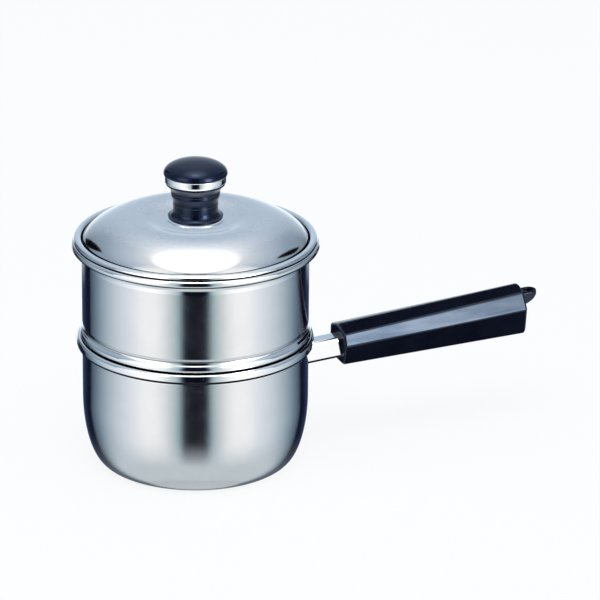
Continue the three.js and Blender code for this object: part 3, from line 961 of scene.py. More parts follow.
@dataclass
class Lid(SheetPiece):
    """Domed lid with a dished seat for its knob, a locating groove and a beaded edge."""

    node = "lid_shell"
    body = Body.LID

    sheet: float = 0.6
    seat: float = 157.6
    seat_radius: float = 18.7
    screw_hole: float = 2.5
    crest: float = 160.2
    crest_radius: float = 40.0
    fullness: float = 0.48
    shoulder_reach: float = 0.87
    shoulder_rise: float = 0.4
    dome_foot: float = 146.9
    groove_inner: float = 69.2
    groove: float = 1.6
    groove_floor: float = 143.4
    edge: float = 75.45
    edge_foot: float = 145.19
    bead_height: float = 2.0
    steps: int = 176

    def blank(self) -> Blank:
        """Spin the middle line of the sheet.

        Returns:
            The blank.
        """
        half = self.sheet / 2
        seat, crest = self.seat - half, self.crest - half
        dish = (self.crest_radius - self.seat_radius) / 2
        crown = self.groove_inner - self.crest_radius
        shoulder = self.dome_foot + (crest - self.dome_foot) * self.shoulder_rise
        bend = self.groove_floor + self.groove / 2
        bottom = self.groove_inner + self.groove / 2
        outer = self.groove_inner + self.groove
        bead = self.edge_foot + half
        top = bead + self.bead_height
        middle = (outer + self.edge) / 2
        profile = Profile((self.screw_hole, seat), (self.seat_radius, seat))
        profile.bend((self.seat_radius + dish, seat), (self.crest_radius - dish, crest),
                     (self.crest_radius, crest), steps=20)
        profile.bend((self.crest_radius + crown * self.fullness, crest),
                     (self.crest_radius + crown * self.shoulder_reach, shoulder),
                     (self.groove_inner, self.dome_foot), steps=28)
        profile.to((self.groove_inner, bend))
        profile.round((self.groove_inner, self.groove_floor), (bottom, self.groove_floor), steps=6)
        profile.round((outer, self.groove_floor), (outer, bend), steps=6)
        profile.to((outer, bead)).round((outer, top), (middle, top))
        profile.round((self.edge, top), (self.edge, bead)).to((self.edge, self.edge_foot))
        return profile.spun(self.steps)


@dataclass
class Knob:
    """Black knob with a bright dished band, on a washer, screwed through the lid from below."""

    seat_foot: float = 157.9
    seat_radius: float = 17.7
    seat_thickness: float = 0.8
    seat_edge: float = 0.25
    bore: float = 2.3
    stem_foot: float = 159.0
    stem_top: float = 182.3
    stem_foot_radius: float = 17.1
    stem_foot_height: float = 6.0
    stem_waist_radius: float = 14.0
    stem_groove: float = 169.0
    stem_collar: float = 176.4
    stem_collar_radius: float = 15.3
    stem_top_radius: float = 18.4
    ring_width: float = 0.9
    ring_depth: float = 0.5
    socket: float = 6.3
    socket_floor: float = 174.3
    band_sheet: float = 0.8
    band_edge: float = 0.2
    band_foot: float = 182.6
    band_rim: float = 187.2
    band_base_radius: float = 17.4
    band_rim_radius: float = 19.0
    band_barrel: float = 0.12  # how far the rim draws in again at its top
    spigot: float = 6.0
    spigot_foot: float = 174.6
    pocket: float = 3.9
    pocket_roof: float = 185.9
    cap_radius: float = 19.9
    cap_rim: float = 187.5
    cap_rim_radius: float = 19.4
    cap_widest: float = 188.3
    cap_top: float = 196.7
    washer_foot: float = 155.7
    screw_length: float = 27.0
    steps: int = 128

    def build(self, finishes: dict[Slot, Any], materials: dict[Slot, bpy.types.Material]) -> None:
        """Build the knob's pieces, keep them out of reflections and dress the insert, which keeps its mesh.

        Args:
            finishes: Finish of each slot; not used.
            materials: Material of each slot.
        """
        steel, black, plain = Slot.POLISHED_STEEL, Slot.PHENOLIC, Slot.PLAIN_STEEL
        fastener = Fastener()
        for blank, node, slot in (
            (self._seat(), "knob_seat", steel),
            (self._stem(), "knob_stem", black),
            (self._cap(), "knob_cap", black),
            (fastener.screw(self.washer_foot - SEAT_GAP, self.screw_length), "knob_screw", plain),
            (fastener.lock_washer(self.washer_foot), "knob_lock_washer", plain),
        ):
            place_piece(blank, node, Body.LID, materials[slot]).visible_glossy = False
        band = place_piece(self._band(), "knob_band", Body.LID, materials[steel])
        band.visible_glossy = False
        sheet(band, self.band_sheet, self.band_edge)
        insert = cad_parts["knob_insert"]
        insert.material_slots[0].material = materials[Slot.BRASS]
        insert.visible_glossy = False

    def _seat(self) -> Blank:
        """Build the washer under the stem, its outer edge rounded.

        Returns:
            The blank.
        """
        top = self.seat_foot + self.seat_thickness
        profile = Profile((self.bore, self.seat_foot), (self.seat_radius, self.seat_foot),
                          (self.seat_radius, top), (self.bore, top))
        blank = profile.spun(self.steps, closed=True)
        soften(blank, self.seat_edge)
        return blank

    def _stem(self) -> Blank:
        """Build the stem with its flared foot, turned grooves and socket.

        Returns:
            The blank.
        """
        foot, top = self.stem_foot, self.stem_top
        ring, depth = self.ring_width, self.ring_depth
        edge, waist = self.stem_foot_radius, self.stem_waist_radius
        collar, wide = self.stem_collar_radius, self.stem_top_radius
        profile = Profile((self.bore, foot), (edge - ring, foot))
        profile.round((edge, foot), (edge, foot + ring), steps=5).to((edge, foot + 2 * ring))
        profile.round((waist, foot + 2 * ring), (waist, foot + self.stem_foot_height), steps=12)
        self._turned_ring(profile, self.stem_groove, waist)
        low, high = self.stem_groove + ring / 2, self.stem_collar - ring / 2
        middle = (low + high) / 2
        profile.bend((waist, middle), (collar, middle), (collar, high), steps=14)
        self._turned_ring(profile, self.stem_collar, collar)
        flare = top - ring
        middle = (self.stem_collar + flare) / 2
        profile.bend((collar, middle), (wide - depth, flare - depth), (wide, flare), steps=12)
        profile.to((wide, top - depth / 2)).round((wide, top), (wide - depth / 2, top), steps=4)
        profile.to((self.socket, top), (self.socket, self.socket_floor), (self.bore, self.socket_floor))
        return profile.spun(self.steps, closed=True)

    def _turned_ring(self, profile: Profile, height: float, radius: float) -> None:
        """Add a rounded groove to the stem's profile.

        Args:
            profile: The stem's profile so far.
            height: Middle of the groove.
            radius: Radius of the stem beside it.
        """
        low, high = height - self.ring_width / 2, height + self.ring_width / 2
        bottom = radius - self.ring_depth
        if profile.points[-1].z < low - WELD:
            profile.to((radius, low))
        profile.bend((bottom, low), (bottom, low), (bottom, height), steps=5)
        profile.bend((bottom, high), (bottom, high), (radius, high), steps=5)

    def _band(self) -> Blank:
        """Build the middle line of the bright dish, spun, its upright rim a little barrelled.

        Returns:
            The blank.
        """
        half = self.band_sheet / 2
        base, rim = self.band_foot + half, self.band_rim_radius
        middle = (self.band_foot + self.band_rim) / 2
        profile = Profile((self.socket, base), (self.band_base_radius, base))
        profile.bend((rim - half, base), (rim, base), (rim, middle), steps=14)
        profile.bend((rim, middle + half), (rim - self.band_barrel / 2, self.band_rim - half),
                     (rim - self.band_barrel, self.band_rim), steps=6)
        return profile.spun(self.steps)

    def _cap(self) -> Blank:
        """Build the domed cap with the body and spigot that hold the insert.

        Returns:
            The blank.
        """
        fit = self.band_sheet + 2 * SEAT_GAP
        body = self.band_foot + fit
        profile = Profile((0.0, self.pocket_roof), (self.pocket, self.pocket_roof),
                          (self.pocket, self.spigot_foot), (self.spigot, self.spigot_foot),
                          (self.spigot, body), (self.band_base_radius - fit, body),
                          (self.cap_rim_radius - fit, self.cap_rim), (self.cap_rim_radius, self.cap_rim))
        profile.round((self.cap_radius, self.cap_rim), (self.cap_radius, self.cap_widest), steps=10)
        profile.round((self.cap_radius, self.cap_top), (0.0, self.cap_top), steps=36)
        return profile.spun(self.steps)


@dataclass
class Handle:
    """Side handle: a bright ferrule on the pot's wall and a black grip with a hanging lug."""

    wall: float = 70.6
    height: float = 59.7
    tilt: float = 4.3
    neck_length: float = 25.3
    neck_width: float = 12.4
    neck_height: float = 13.9
    neck_corner: float = 2.8
    neck_sheet: float = 0.8
    neck_insert: float = 5.0
    strap_width: float = 8.6
    strap_thickness: float = 3.0
    strap_reach: float = 38.0
    strap_corner: float = 0.5
    grip_length: float = 125.8
    top_width_near: float = 23.3
    top_width_far: float = 15.6
    top_near: float = 11.1
    top_far: float = 13.4
    crest: float = 1.8  # rise of the rounded top above its two edges
    ridge_width: float = 27.0
    ridge: float = 2.9
    keel_width: float = 16.0
    keel_near: float = 11.8
    keel_far: float = 16.4
    end_edge: float = 1.6
    top_corner: float = 1.6
    keel_corner: float = 3.0
    ridge_corner: float = 1.0
    screw_setback: float = 26.0
    screw_wall: float = 4.0
    lug_width: float = 10.6
    lug_reach: float = 6.2
    lug_hole: float = 6.6
    lug_hole_edge: float = 0.6
    lug_top: float = 10.4
    lug_root: float = 10.1
    lug_tip: float = 2.4
    lug_edge: float = 0.5
    corner_steps: int = 10
    crest_cuts: int = 15
    stations: int = 12  # sections along the grip, so that its sides can twist
    end_steps: int = 6
    bore_steps: int = 40

    def build(self, finishes: dict[Slot, Any], materials: dict[Slot, bpy.types.Material]) -> None:
        """Build the handle's pieces and dress the bracket, which keeps the frame's own mesh.

        Args:
            finishes: Finish of each slot; not used.
            materials: Material of each slot.
        """
        steel, black, plain = Slot.POLISHED_STEEL, Slot.PHENOLIC, Slot.PLAIN_STEEL
        fastener = Fastener()
        washer_top = -self.strap_thickness / 2 - self.screw_wall - 2 * SEAT_GAP
        washer_foot = washer_top - fastener.washer_thickness
        seat = washer_foot - SEAT_GAP
        tip = self.strap_thickness / 2 + SEAT_GAP
        aside = (self.neck_length + self.screw_setback, 0.0, 0.0)
        screw, washer = fastener.screw(seat, tip - seat), fastener.lock_washer(washer_foot)
        for blank in (screw, washer):
            bmesh.ops.translate(blank, vec=aside, verts=blank.verts)
        for blank, node, slot in (
            (self._ferrule(), "handle_ferrule", steel),
            (self._grip(), "handle_grip", black),
            (screw, "handle_screw", plain),
            (washer, "handle_lock_washer", plain),
        ):
            bmesh.ops.transform(blank, matrix=self.seat(), verts=blank.verts)
            flat_facets(place_piece(blank, node, Body.POT, materials[slot]))
        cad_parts["handle_bracket"].material_slots[0].material = materials[plain]

    def seat(self, unit: float = 1.0) -> Matrix:
        """Return the place of the handle's own frame on the pot's wall, in millimetres times a unit."""
        place = Matrix.Translation((self.wall * unit, 0.0, self.height * unit))
        return place @ Matrix.Rotation(-math.radians(self.tilt), 4, "Y")

    def _ferrule(self) -> Blank:
        """Build the rounded square sleeve, its root fitted to the pot's wall.

        Returns:
            The blank.
        """
        end = self.neck_length + self.neck_insert
        blank = rounded_rectangle(end, self.neck_width, self.neck_height, self.neck_corner, cuts=5)
        bmesh.ops.inset_region(blank, faces=list(blank.faces), thickness=self.neck_sheet,
                               use_even_offset=True, use_boundary=True)
        core = max(blank.faces, key=lambda face: face.calc_area())
        bmesh.ops.delete(blank, geom=[core], context="FACES_ONLY")
        lean = math.radians(self.tilt)
        for vert in extruded(blank):
            reach = math.sqrt((self.wall + SEAT_GAP) ** 2 - vert.co.y ** 2) - self.wall
            vert.co.x = (reach + vert.co.z * math.sin(lean)) / math.cos(lean)
        outward(blank)
        return blank

    def _grip(self) -> Blank:
        """Build the grip with its lug, sockets and screw hole.

        Returns:
            The blank.
        """
        front = self.neck_length
        wide = 2 * SEAT_GAP
        grip = worked(self._bar(), self._lug(), Cut.JOIN)
        pocket = rounded_rectangle(front - self.end_edge, self.neck_width + wide, self.neck_height + wide,
                                   self.neck_corner)
        slot = rounded_rectangle(front, self.strap_width + wide, self.strap_thickness + wide,
                                 self.strap_corner)
        grip = worked(grip, drawn(pocket, self.end_edge + self.neck_insert + SEAT_GAP), Cut.REMOVE)
        grip = worked(grip, drawn(slot, self.strap_reach + SEAT_GAP), Cut.REMOVE)
        for tool, along in ((self._drill(), front + self.screw_setback),
                            (self._punch(), front + self.grip_length + self.lug_reach)):
            cutter = tool.spun(self.bore_steps)
            bmesh.ops.translate(cutter, vec=(along, 0.0, 0.0), verts=cutter.verts)
            grip = worked(grip, cutter, Cut.REMOVE)
        return grip

    def _drill(self) -> Profile:
        """Draw the profile of the hole for the screw, its head and its washer.

        Returns:
            The profile.
        """
        fastener = Fastener()
        low = -2 * self.keel_far
        seat = -self.strap_thickness / 2 - SEAT_GAP - self.screw_wall
        top = self.strap_thickness / 2 + 2 * SEAT_GAP
        clear, bore = fastener.washer + SEAT_GAP, fastener.washer_bore
        return Profile((0.0, low), (clear, low), (clear, seat), (bore, seat), (bore, top), (0.0, top))

    def _punch(self) -> Profile:
        """Draw the profile of the hole for the hook, rounded at its upper edge.

        Returns:
            The profile.
        """
        hole, edge, top = self.lug_hole / 2, self.lug_hole_edge, self.lug_top
        guide = edge / 3
        low, high = -2 * self.lug_root, 2 * self.lug_root
        punch = Profile((0.0, low), (hole, low), (hole, top - edge))
        punch.bend((hole, top - guide), (hole + guide, top), (hole + edge, top), steps=5)
        return punch.to((hole + edge, high), (0.0, high))

    def _bar(self) -> Blank:
        """Build the six-sided bar with rounded edges and ends.

        Returns:
            The blank.
        """
        bar = bmesh.new()
        corners = (
            (-self.keel_width / 2, -self.keel_near, self.keel_corner),
            (self.keel_width / 2, -self.keel_near, self.keel_corner),
            (self.ridge_width / 2, self.ridge, self.ridge_corner),
            (self.top_width_near / 2, self.top_near, self.top_corner),
            (-self.top_width_near / 2, self.top_near, self.top_corner),
            (-self.ridge_width / 2, self.ridge, self.ridge_corner),
        )
        front, end = self.neck_length, self.neck_length + self.grip_length
        verts = [bar.verts.new((front, y, z)) for y, z, _ in corners]
        bar.faces.new(verts)
        for vert, (_, _, radius) in zip(verts, corners):
            round_corners(bar, [vert], radius, self.corner_steps)
        top = max(bar.edges, key=lambda edge: sum(vert.co.z for vert in edge.verts) + edge.calc_length())
        half = top.calc_length() / 2
        arch = bmesh.ops.subdivide_edges(bar, edges=[top], cuts=self.crest_cuts)
        for vert in new_verts(arch["geom_inner"]):
            vert.co.z += self.crest * (1 - (vert.co.y / half) ** 2)
        runs = [self.end_edge * (1 - math.cos(math.radians(90.0 / self.end_steps * step)))
                for step in range(self.end_steps + 1)]
        between = [front + self.grip_length * step / self.stations for step in range(1, self.stations)]
        section = list(bar.faces)
        for x in [front + run for run in runs[1:]] + between + [end - run for run in reversed(runs)]:
            out = bmesh.ops.extrude_face_region(bar, geom=section + list(section[0].edges))
            section = [item for item in out["geom"] if isinstance(item, bmesh.types.BMFace)]
            for vert in section[0].verts:
                vert.co.x = x
        for vert in bar.verts:
            vert.co = self._tapered(vert.co)
        outward(bar)
        return bar

    def _tapered(self, spot: Vector) -> Vector:
        """Move a point of the even bar to its place on the tapered grip.

        Args:
            spot: The point on a bar that keeps its section from end to end.

        Returns:
            The point where the bar deepens and narrows at the top, with its ends rounded.
        """
        run = min(spot.x - self.neck_length, self.neck_length + self.grip_length - spot.x)
        turn = math.acos(min(max(1 - run / self.end_edge, 0.0), 1.0))
        shrink = 1 - self.end_edge * (1 - math.sin(turn)) / (self.ridge_width / 2)
        along = (spot.x - self.neck_length) / self.grip_length
        rise = spot.z - self.ridge
        share = min(max(rise, 0.0) / (self.top_near - self.ridge), 1.0)
        deeper = (self.keel_far - self.keel_near) / (self.keel_near + self.ridge)
        higher = (self.top_far - self.top_near) / (self.top_near - self.ridge)
        rise *= 1 + (higher if rise > 0.0 else deeper) * along
        narrowing = 1 - self.top_width_far / self.top_width_near
        across = spot.y * (1 - narrowing * share * along) * shrink
        return Vector((spot.x, across, self.ridge + rise * shrink))

    def _lug(self) -> Blank:
        """Build the tongue with a round tip, flat on top and sloping up underneath.

        Returns:
            The blank.
        """
        face = self.neck_length + self.grip_length
        root = face - 2 * self.end_edge
        side = self.lug_width / 2
        tip = face + self.lug_reach + side
        lug = bmesh.new()
        verts = [lug.verts.new((x, y, self.lug_top))
                 for x, y in ((root, -side), (tip, -side), (tip, side), (root, side))]
        lug.faces.new(verts)
        nearly_half = side - 0.02  # the two roundings of the tip may not meet
        round_corners(lug, verts[1:3], nearly_half, steps=14)
        for vert in extruded(lug):
            share = min(max((vert.co.x - face) / (tip - face), 0.0), 1.0)
            vert.co.z = self.lug_top - self.lug_root + (self.lug_root - self.lug_tip) * share
        outward(lug)
        soften(lug, self.lug_edge, sharper_than=50.0)
        return lug


@dataclass(frozen=True)
class Patch:
    """An area of the tent with soft edges, in metres up and in degrees round from the camera."""

    foot: Point
    top: Point
    start: Point
    end: Point

    def mask(self, nodes: Nodes, height: Socket, turn: Socket) -> Socket:
        """Return a value that is 1 on the area and 0 elsewhere."""
        return nodes.product(nodes.window(height, self.foot, self.top),
                             nodes.window(turn, turns(self.start), turns(self.end)))


@dataclass
class Studio:
    """Pale floor, a light tent with a slit for the camera, a softbox, a flag, a lamp and the camera."""

    BELOW = ((-90, (0.6, 0.63, 0.65)), (-60, (0.5, 0.54, 0.57)), (-24, (0.012, 0.014, 0.028)))
    BEHIND = ((-17, WHITE), (-3, (0.95, 0.98, 1.0)), (4, (0.6, 0.71, 0.83)), (16, (0.52, 0.63, 0.76)),
              (30, (0.45, 0.56, 0.69)), (42, (0.6, 0.7, 0.82)), (60, (0.9, 0.95, 1.0)), (90, WHITE))
    BESIDE = ((-12, (0.012, 0.014, 0.028)), (1, (0.18, 0.22, 0.27)), (12, (0.25, 0.31, 0.38)),
              (22, (0.28, 0.36, 0.45)), (32, (0.31, 0.39, 0.49)), (52, (0.55, 0.63, 0.73)), (90, WHITE))
    CLOTH = ((0, (0.003, 0.003, 0.006)), (9.6, BLACK_CLOTH), (12.3, (0.04, 0.055, 0.075)),
             (15.4, (0.24, 0.31, 0.35)), (18.6, (0.37, 0.46, 0.49)), (25, (0.56, 0.6, 0.61)),
             (31, (0.74, 0.75, 0.75)), (40, (0.87, 0.87, 0.865)), (50, (0.88, 0.875, 0.87)),
             (58, (0.83, 0.835, 0.84)), (72, (0.66, 0.7, 0.75)), (84, (0.55, 0.6, 0.65)),
             (98, (0.38, 0.45, 0.5)), (110, (0.23, 0.3, 0.36)), (118, (0.14, 0.2, 0.25)),
             (126, (0.08, 0.115, 0.16)), (130, (0.06, 0.085, 0.13)), (133, (0.002, 0.003, 0.009)),
             (142, (0.006, 0.008, 0.022)), (157, (0.02, 0.032, 0.07)), (180, (0.09, 0.125, 0.19)))
    SOFTBOX = ((0.0, 1.0), (0.2, 0.85), (0.4, 0.42), (0.7, 0.28), (1.0, 0.12))

    azimuth: float = -20.0
    elevation: float = 22.9
    distance: float = 2.837
    focal: float = 4495.0  # in pixels of the photograph
    image: float = 600.0
    aim: Point = (195.5, 454.4)  # where the origin shows in the photograph
    room_strength: float = 1.1
    room_back: Point = (0.85, 0.985)  # cosines of the turn from straight behind
    floor_size: float = 12.0
    floor_drop: float = 0.0002
    floor_paper: Colour = (0.92, 0.92, 0.92)
    floor_white: float = 0.86  # share of the floor that the camera sees as plain white
    shade_along: tuple[Point, Point] = ((0.075, 0.09), (0.265, 0.285))  # dark place under the handle
    shade_across: tuple[Point, Point] = ((-0.085, -0.07), (0.02, 0.035))
    shade_steep: Point = (0.28, 0.42)  # only steep reflections see it
    tent_radius: float = 1.2
    tent_low: float = -2.6
    tent_high: float = 2.25
    tent_strength: float = 1.36
    tent_steps: int = 96
    low_wall: float = 0.1  # top of the tent at the back
    low_wall_start: Point = (75.0, 77.0)
    depth: Point = (-0.6, -1.15)  # below the floor the cloth turns pale
    depth_turn: Point = (105.0, 130.0)
    depth_back: float = 0.2  # what is left of that at the back
    depth_colour: Colour = (0.5, 0.55, 0.58)
    table: Point = (-0.34, -0.26)  # edge of the pale table behind the pot
    table_turn: Point = (146.0, 154.0)
    table_colour: Colour = (0.72, 0.8, 0.9)
    fill: Patch = Patch((0.3, 0.42), (0.5, 1.5), (24.0, 31.0), (60.0, 70.0))
    fill_strength: float = 2.4
    key: Patch = Patch((-0.08, 0.06), (0.15, 1.2), (35.0, 39.0), (54.0, 59.0))  # on the right only
    key_strength: float = 11.5
    lens_ends: Point = (113.0, 141.0)  # the dark lens on each side of the tent
    lens_high: float = 0.93  # its height at its two ends
    lens_low: float = 0.37
    lens_depth: float = 0.16
    lens_turn: float = 7.5  # degrees and height by which the lenses of the two sides differ from their mean
    lens_lift: float = 0.135
    roof_height: float = 1.7
    roof_forward: float = 0.15
    roof_reach: Point = (0.8, 0.95)  # half the roof's size across the view and along it
    roof_strength: float = 7.0
    roof_steps: int = 64
    flag_ends: Point = (0.047, 0.21)  # the black flag behind the handle, in the handle's own frame
    flag_foot: Point = (0.06, 0.027)
    flag_lean: Triple = (-0.022, -0.072, 0.05)
    handle_seat: Matrix = field(default_factory=Matrix)
    lamp_size: float = 1.4
    lamp_energy: float = 14.0
    lamp_place: Triple = (-0.35, -0.5, 1.9)
    lamp_aim: Triple = (0.0, 0.0, 0.05)

    def build(self) -> None:
        """Set up the view, the light, the floor and the camera."""
        scene = bpy.context.scene
        scene.view_settings.view_transform = "Standard"
        self._world(scene)
        self._floor()
        self._tent()
        self._roof()
        self._flag()
        self._lamp()
        self._camera(scene)

    def _toward_camera(self) -> tuple[Vector, Vector]:
        """Return the level directions towards the camera and to the right of the picture."""
        turn = math.radians(self.azimuth)
        return Vector((math.sin(turn), -math.cos(turn), 0.0)), Vector((math.cos(turn), math.sin(turn), 0.0))

    def _world(self, scene: bpy.types.Scene) -> None:
        """Make a white backdrop for the camera and a room of soft light for everything else.

        Args:
            scene: The scene that takes the world.
        """
        world = bpy.data.worlds.new("Studio")
        scene.world = world
        world.use_nodes = True
        nodes = Nodes(world.node_tree)
        direction = nodes.add("ShaderNodeTexCoord").outputs["Generated"]
        height = nodes.parts(direction)["Z"]
        share = nodes.spread(height, -1.0, 1.0)
        behind, beside = (nodes.ramp(share, [((math.sin(math.radians(angle)) + 1) / 2, colour)
                                             for angle, colour in self.BELOW + above])
                          for above in (self.BEHIND, self.BESIDE))
        front, _ = self._toward_camera()
        away = nodes.vector("DOT_PRODUCT", direction, -front)
        above_one = 1.0001  # keeps the level part of a direction straight up from being nothing
        level = nodes.math("SQRT", nodes.math("SUBTRACT", above_one, nodes.math("MULTIPLY", height, height)))
        room = nodes.blend(nodes.spread(nodes.math("DIVIDE", away, level), *self.room_back), beside, behind)
        soft = nodes.add("ShaderNodeBackground", {"Color": room, "Strength": self.room_strength})
        white = nodes.add("ShaderNodeBackground", {"Color": opaque(WHITE)})
        path = nodes.add("ShaderNodeLightPath").outputs
        nodes.finish(nodes.mix(path["Is Camera Ray"], soft, white), "ShaderNodeOutputWorld")

    def _floor(self) -> None:
        """Lay a white floor that keeps a faint shadow and lies dark under the handle in its reflections."""
        blank = bmesh.new()
        bmesh.ops.create_grid(blank, x_segments=2, y_segments=2, size=self.floor_size)
        floor = self._stage_piece(blank, "floor")
        floor.location.z = -self.floor_drop
        floor.visible_shadow = False
        material, nodes = new_material("Floor")
        floor.data.materials.append(material)
        path = nodes.add("ShaderNodeLightPath").outputs
        paper = nodes.add("ShaderNodeBsdfDiffuse", {"Color": opaque(self.floor_paper)})
        white = nodes.add("ShaderNodeEmission", {"Color": opaque(WHITE)})
        plain = nodes.mix(nodes.math("MULTIPLY", path["Is Camera Ray"], self.floor_white), paper, white)
        spot = nodes.parts(nodes.place())
        under = nodes.product(nodes.window(spot["X"], *self.shade_along),
                              nodes.window(spot["Y"], *self.shade_across),
                              nodes.spread(nodes.facing(), *self.shade_steep, 1.0, 0.0))
        clear = nodes.add("ShaderNodeBsdfTransparent")
        dark = nodes.add("ShaderNodeEmission", {"Color": opaque(BLACK_CLOTH)})
        nodes.finish(nodes.mix(path["Is Glossy Ray"], plain, nodes.mix(under, clear, dark)))

    def _tent(self) -> None:
        """Stand a light tent round the pot: dark at the camera's slit, open above the floor at the back."""
        radius = self.tent_radius
        blank = Profile((radius, self.tent_low), (radius, self.tent_high)).spun(self.tent_steps)
        nodes = self._panel_nodes(self._stage_piece(blank, "tent"))
        place = nodes.place()
        height = nodes.parts(place)["Z"]
        ahead, aside = (nodes.vector("DOT_PRODUCT", place, way) for way in self._toward_camera())
        turn = nodes.math("ABSOLUTE", nodes.math("ARCTAN2", aside, ahead))
        side = nodes.math("SIGN", aside)
        cloth = nodes.ramp(nodes.math("DIVIDE", turn, math.pi),
                           [(angle / 180, colour) for angle, colour in self.CLOTH])
        deep = nodes.product(nodes.spread(height, *self.depth),
                             nodes.spread(turn, *turns(self.depth_turn), 1.0, self.depth_back))
        table = nodes.product(nodes.spread(height, *self.table), nodes.spread(turn, *turns(self.table_turn)))
        colour = nodes.blend(deep, cloth, opaque(self.depth_colour))
        colour = nodes.blend(table, colour, opaque(self.table_colour))
        strength = nodes.math("MULTIPLY_ADD", self.fill.mask(nodes, height, turn), self.fill_strength,
                              self.tent_strength)
        key = self.key.mask(nodes, height, nodes.math("MULTIPLY", turn, side))
        strength = nodes.math("MULTIPLY_ADD", key, self.key_strength, strength)
        top = nodes.spread(turn, *turns(self.low_wall_start), self.tent_high, self.low_wall)
        lens = self._lens(nodes, height, turn, side)
        opening = nodes.math("SUBTRACT", nodes.math("GREATER_THAN", height, top), lens)
        shade = nodes.math("MULTIPLY", strength, nodes.math("SUBTRACT", 1.0, lens))
        light = nodes.add("ShaderNodeEmission", {"Color": colour, "Strength": shade})
        nodes.finish(nodes.mix(opening, light, nodes.add("ShaderNodeBsdfTransparent")))

    def _lens(self, nodes: Nodes, height: Socket, turn: Socket, side: Socket) -> Socket:
        """Build the mask of the two dark lenses that the lid reflects at its sides.

        Args:
            nodes: Tree of the tent's material.
            height: Height on the tent.
            turn: Angle round from the camera, on either side.
            side: 1 on the right and -1 on the left.

        Returns:
            A value that is 1 on the lenses and 0 elsewhere.
        """
        shifted = nodes.math("MULTIPLY_ADD", side, math.radians(self.lens_turn), turn)
        along = nodes.spread(shifted, *turns(self.lens_ends))
        middle = nodes.math("MULTIPLY_ADD", side, self.lens_lift,
                            nodes.spread(along, 0.0, 1.0, self.lens_high, self.lens_low))
        reach = nodes.product(along, nodes.math("SUBTRACT", 1.0, along), 4.0 * self.lens_depth)
        return nodes.math("LESS_THAN", nodes.math("ABSOLUTE", nodes.math("SUBTRACT", height, middle)), reach)

    def _roof(self) -> None:
        """Hang an oval softbox over the pot, brightest in its middle."""
        blank = bmesh.new()
        bmesh.ops.create_circle(blank, cap_ends=True, segments=self.roof_steps, radius=1.0)
        roof = self._stage_piece(blank, "roof")
        front, _ = self._toward_camera()
        roof.location = front * self.roof_forward + Vector((0.0, 0.0, self.roof_height))
        roof.scale = (*self.roof_reach, 1.0)
        roof.rotation_euler.z = math.radians(self.azimuth)
        nodes = self._panel_nodes(roof)
        reach = nodes.vector("LENGTH", nodes.place())
        glow = nodes.ramp(reach, [(stop, (light, light, light)) for stop, light in self.SOFTBOX])
        nodes.finish(nodes.add("ShaderNodeEmission", {"Color": glow, "Strength": self.roof_strength}))

    def _flag(self) -> None:
        """Hang a black flag behind the handle, so that the top of the grip stays deep black."""
        blank = bmesh.new()
        edge = blank.edges.new([blank.verts.new((x, *self.flag_foot)) for x in self.flag_ends])
        out = bmesh.ops.extrude_edge_only(blank, edges=[edge])
        bmesh.ops.translate(blank, vec=self.flag_lean, verts=new_verts(out["geom"]))
        flag = self._stage_piece(blank, "flag")
        flag.matrix_world = self.handle_seat
        nodes = self._panel_nodes(flag)
        nodes.finish(nodes.add("ShaderNodeEmission", {"Color": opaque(BLACK_CLOTH)}))

    def _stage_piece(self, blank: Blank, name: str) -> bpy.types.Object:
        """Turn a blank in metres into a part of the studio.

        Args:
            blank: The blank.
            name: Name of the part.

        Returns:
            The part.
        """
        piece = linked(blank, name, name)
        return piece

    def _panel_nodes(self, panel: bpy.types.Object) -> Nodes:
        """Make a panel that only reflections see.

        Args:
            panel: The panel.

        Returns:
            The nodes of its material.
        """
        panel.visible_camera = False
        panel.visible_diffuse = False
        panel.visible_shadow = False
        material, nodes = new_material(panel.name)
        material.cycles.emission_sampling = "NONE"
        panel.data.materials.append(material)
        return nodes

    def _lamp(self) -> None:
        """Add a large soft lamp above for the floor's shadow."""
        light = bpy.data.lights.new("softbox", "AREA")
        light.shape = "DISK"
        light.size = self.lamp_size
        light.energy = self.lamp_energy
        lamp = bpy.data.objects.new("softbox", light)
        lamp.location = self.lamp_place
        sight = Vector(self.lamp_aim) - Vector(self.lamp_place)
        lamp.rotation_euler = sight.to_track_quat("-Z", "Y").to_euler()
        lamp.visible_glossy = False
        bpy.context.scene.collection.objects.link(lamp)

    def _camera(self, scene: bpy.types.Scene) -> None:
        """Place the camera where the photograph was taken from and turn it to the same framing.

        Args:
            scene: The scene that takes the camera.
        """
        front, right = self._toward_camera()
        rise = math.radians(self.elevation)
        back = front * math.cos(rise) + Vector((0.0, 0.0, math.sin(rise)))
        up = back.cross(right)
        middle = self.image / 2
        sight = -back * self.focal + right * (middle - self.aim[0]) + up * (self.aim[1] - middle)
        sight.normalize()
        across = (right - sight * right.dot(sight)).normalized()
        over = across.cross(sight)
        turn = Matrix((across, over, -sight)).transposed().to_4x4()
        data = bpy.data.cameras.new("camera")
        data.sensor_width = 36.0
        data.lens = self.focal * data.sensor_width / self.image
        data.clip_end = 100.0
        camera = bpy.data.objects.new("camera", data)
        camera.matrix_world = Matrix.Translation(back * self.distance) @ turn
        scene.collection.objects.link(camera)
        scene.camera = camera


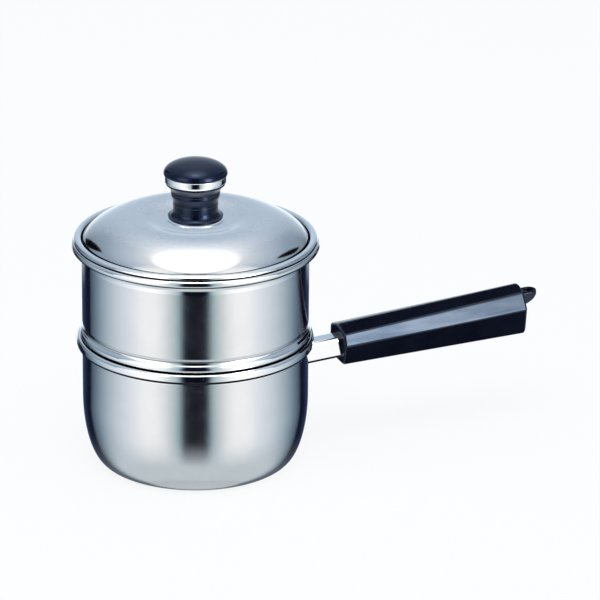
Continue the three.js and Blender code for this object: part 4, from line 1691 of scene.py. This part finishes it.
POT_STEEL = SteelFinish(
    "Satin steel pot", Slot.SATIN_STEEL, SATIN, roughness=0.13, smeared=0.165, grain=0.22, pitch=9000.0,
    bands=(
        Band(75.0, 90.0, BRIGHT, MIRROR),
        # the dark ring under the rim's lip is painted shade
        Band(75.0, 78.4, PAINTED_SHADE, MATT, inner=72.0),
    ))
LID_STEEL = SteelFinish(
    "Satin steel lid", Slot.SATIN_STEEL, SATIN, roughness=0.27, smeared=0.3, grain=0.25, pitch=9000.0,
    bands=(
        Band(135.0, 154.0, SATIN, 0.1, fade=5.0),
        Band(135.0, 149.0, BRIGHT, MIRROR, inner=69.6),
        # the dark rings in the groove and on the lower part of the edge are painted shade
        Band(135.0, 147.0, PAINTED_SHADE, MATT, inner=68.6, outer=70.6),
        Band(135.0, 145.9, PAINTED_SHADE, MATT, inner=74.8),
    ))
STEAMER_STEEL = SteelFinish(
    "Satin steel steamer", Slot.SATIN_STEEL, SATIN, roughness=0.12, smeared=0.155, grain=0.22, pitch=9000.0,
    bands=(
        Band(80.0, 90.0, BRIGHT, MIRROR),
        Band(134.0, 150.0, BRIGHT, MIRROR),
        # the dark rings on the skirt, at the crease above the bead and under the mouth's curl are painted
        # shade
        Band(80.0, 84.2, PAINTED_SHADE, MATT, inner=68.9),
        Band(89.7, 90.2, PAINTED_SHADE, MATT, inner=68.0, fade=0.8),
        Band(134.0, 141.3, PAINTED_SHADE, MATT, inner=73.6),
    ))
FINISHES = {finish.slot: finish for finish in (
    SteelFinish("Polished steel", Slot.POLISHED_STEEL, (0.82, 0.83, 0.84), roughness=0.05, smeared=0.085,
                grain=0.08, pitch=14000.0),
    SteelFinish("Plain steel", Slot.PLAIN_STEEL, (0.6, 0.61, 0.62), roughness=0.34, smeared=0.46, grain=0.4,
                pitch=6000.0),
    SteelFinish("Turned brass", Slot.BRASS, (0.69, 0.55, 0.3), roughness=0.28, smeared=0.38, grain=0.5,
                pitch=3500.0),
    PhenolicFinish(),
)}
KNOB_BLACK = PhenolicFinish("Black phenolic knob", colour=(0.0026, 0.0048, 0.0145),
                            dusty=(0.0036, 0.0062, 0.018), specular=0.4, gloss_tint=(0.42, 0.58, 1.0),
                            polish=0.05)


def main() -> None:
    """Build the pieces and the studio."""
    logging.basicConfig(level=logging.INFO, format="%(name)s: %(message)s")
    effects = Effects()
    materials = {slot: finish.material(effects) for slot, finish in FINISHES.items()}
    Pot().build(POT_STEEL, effects)
    handle = Handle()
    handle.build(FINISHES, materials)
    Steamer().build(STEAMER_STEEL, effects)
    Lid().build(LID_STEEL, effects)
    Knob().build({**FINISHES, Slot.PHENOLIC: KNOB_BLACK},
                 {**materials, Slot.PHENOLIC: KNOB_BLACK.material(effects)})
    Studio(handle_seat=handle.seat(MM)).build()


if __name__ == "__main__":
    main()
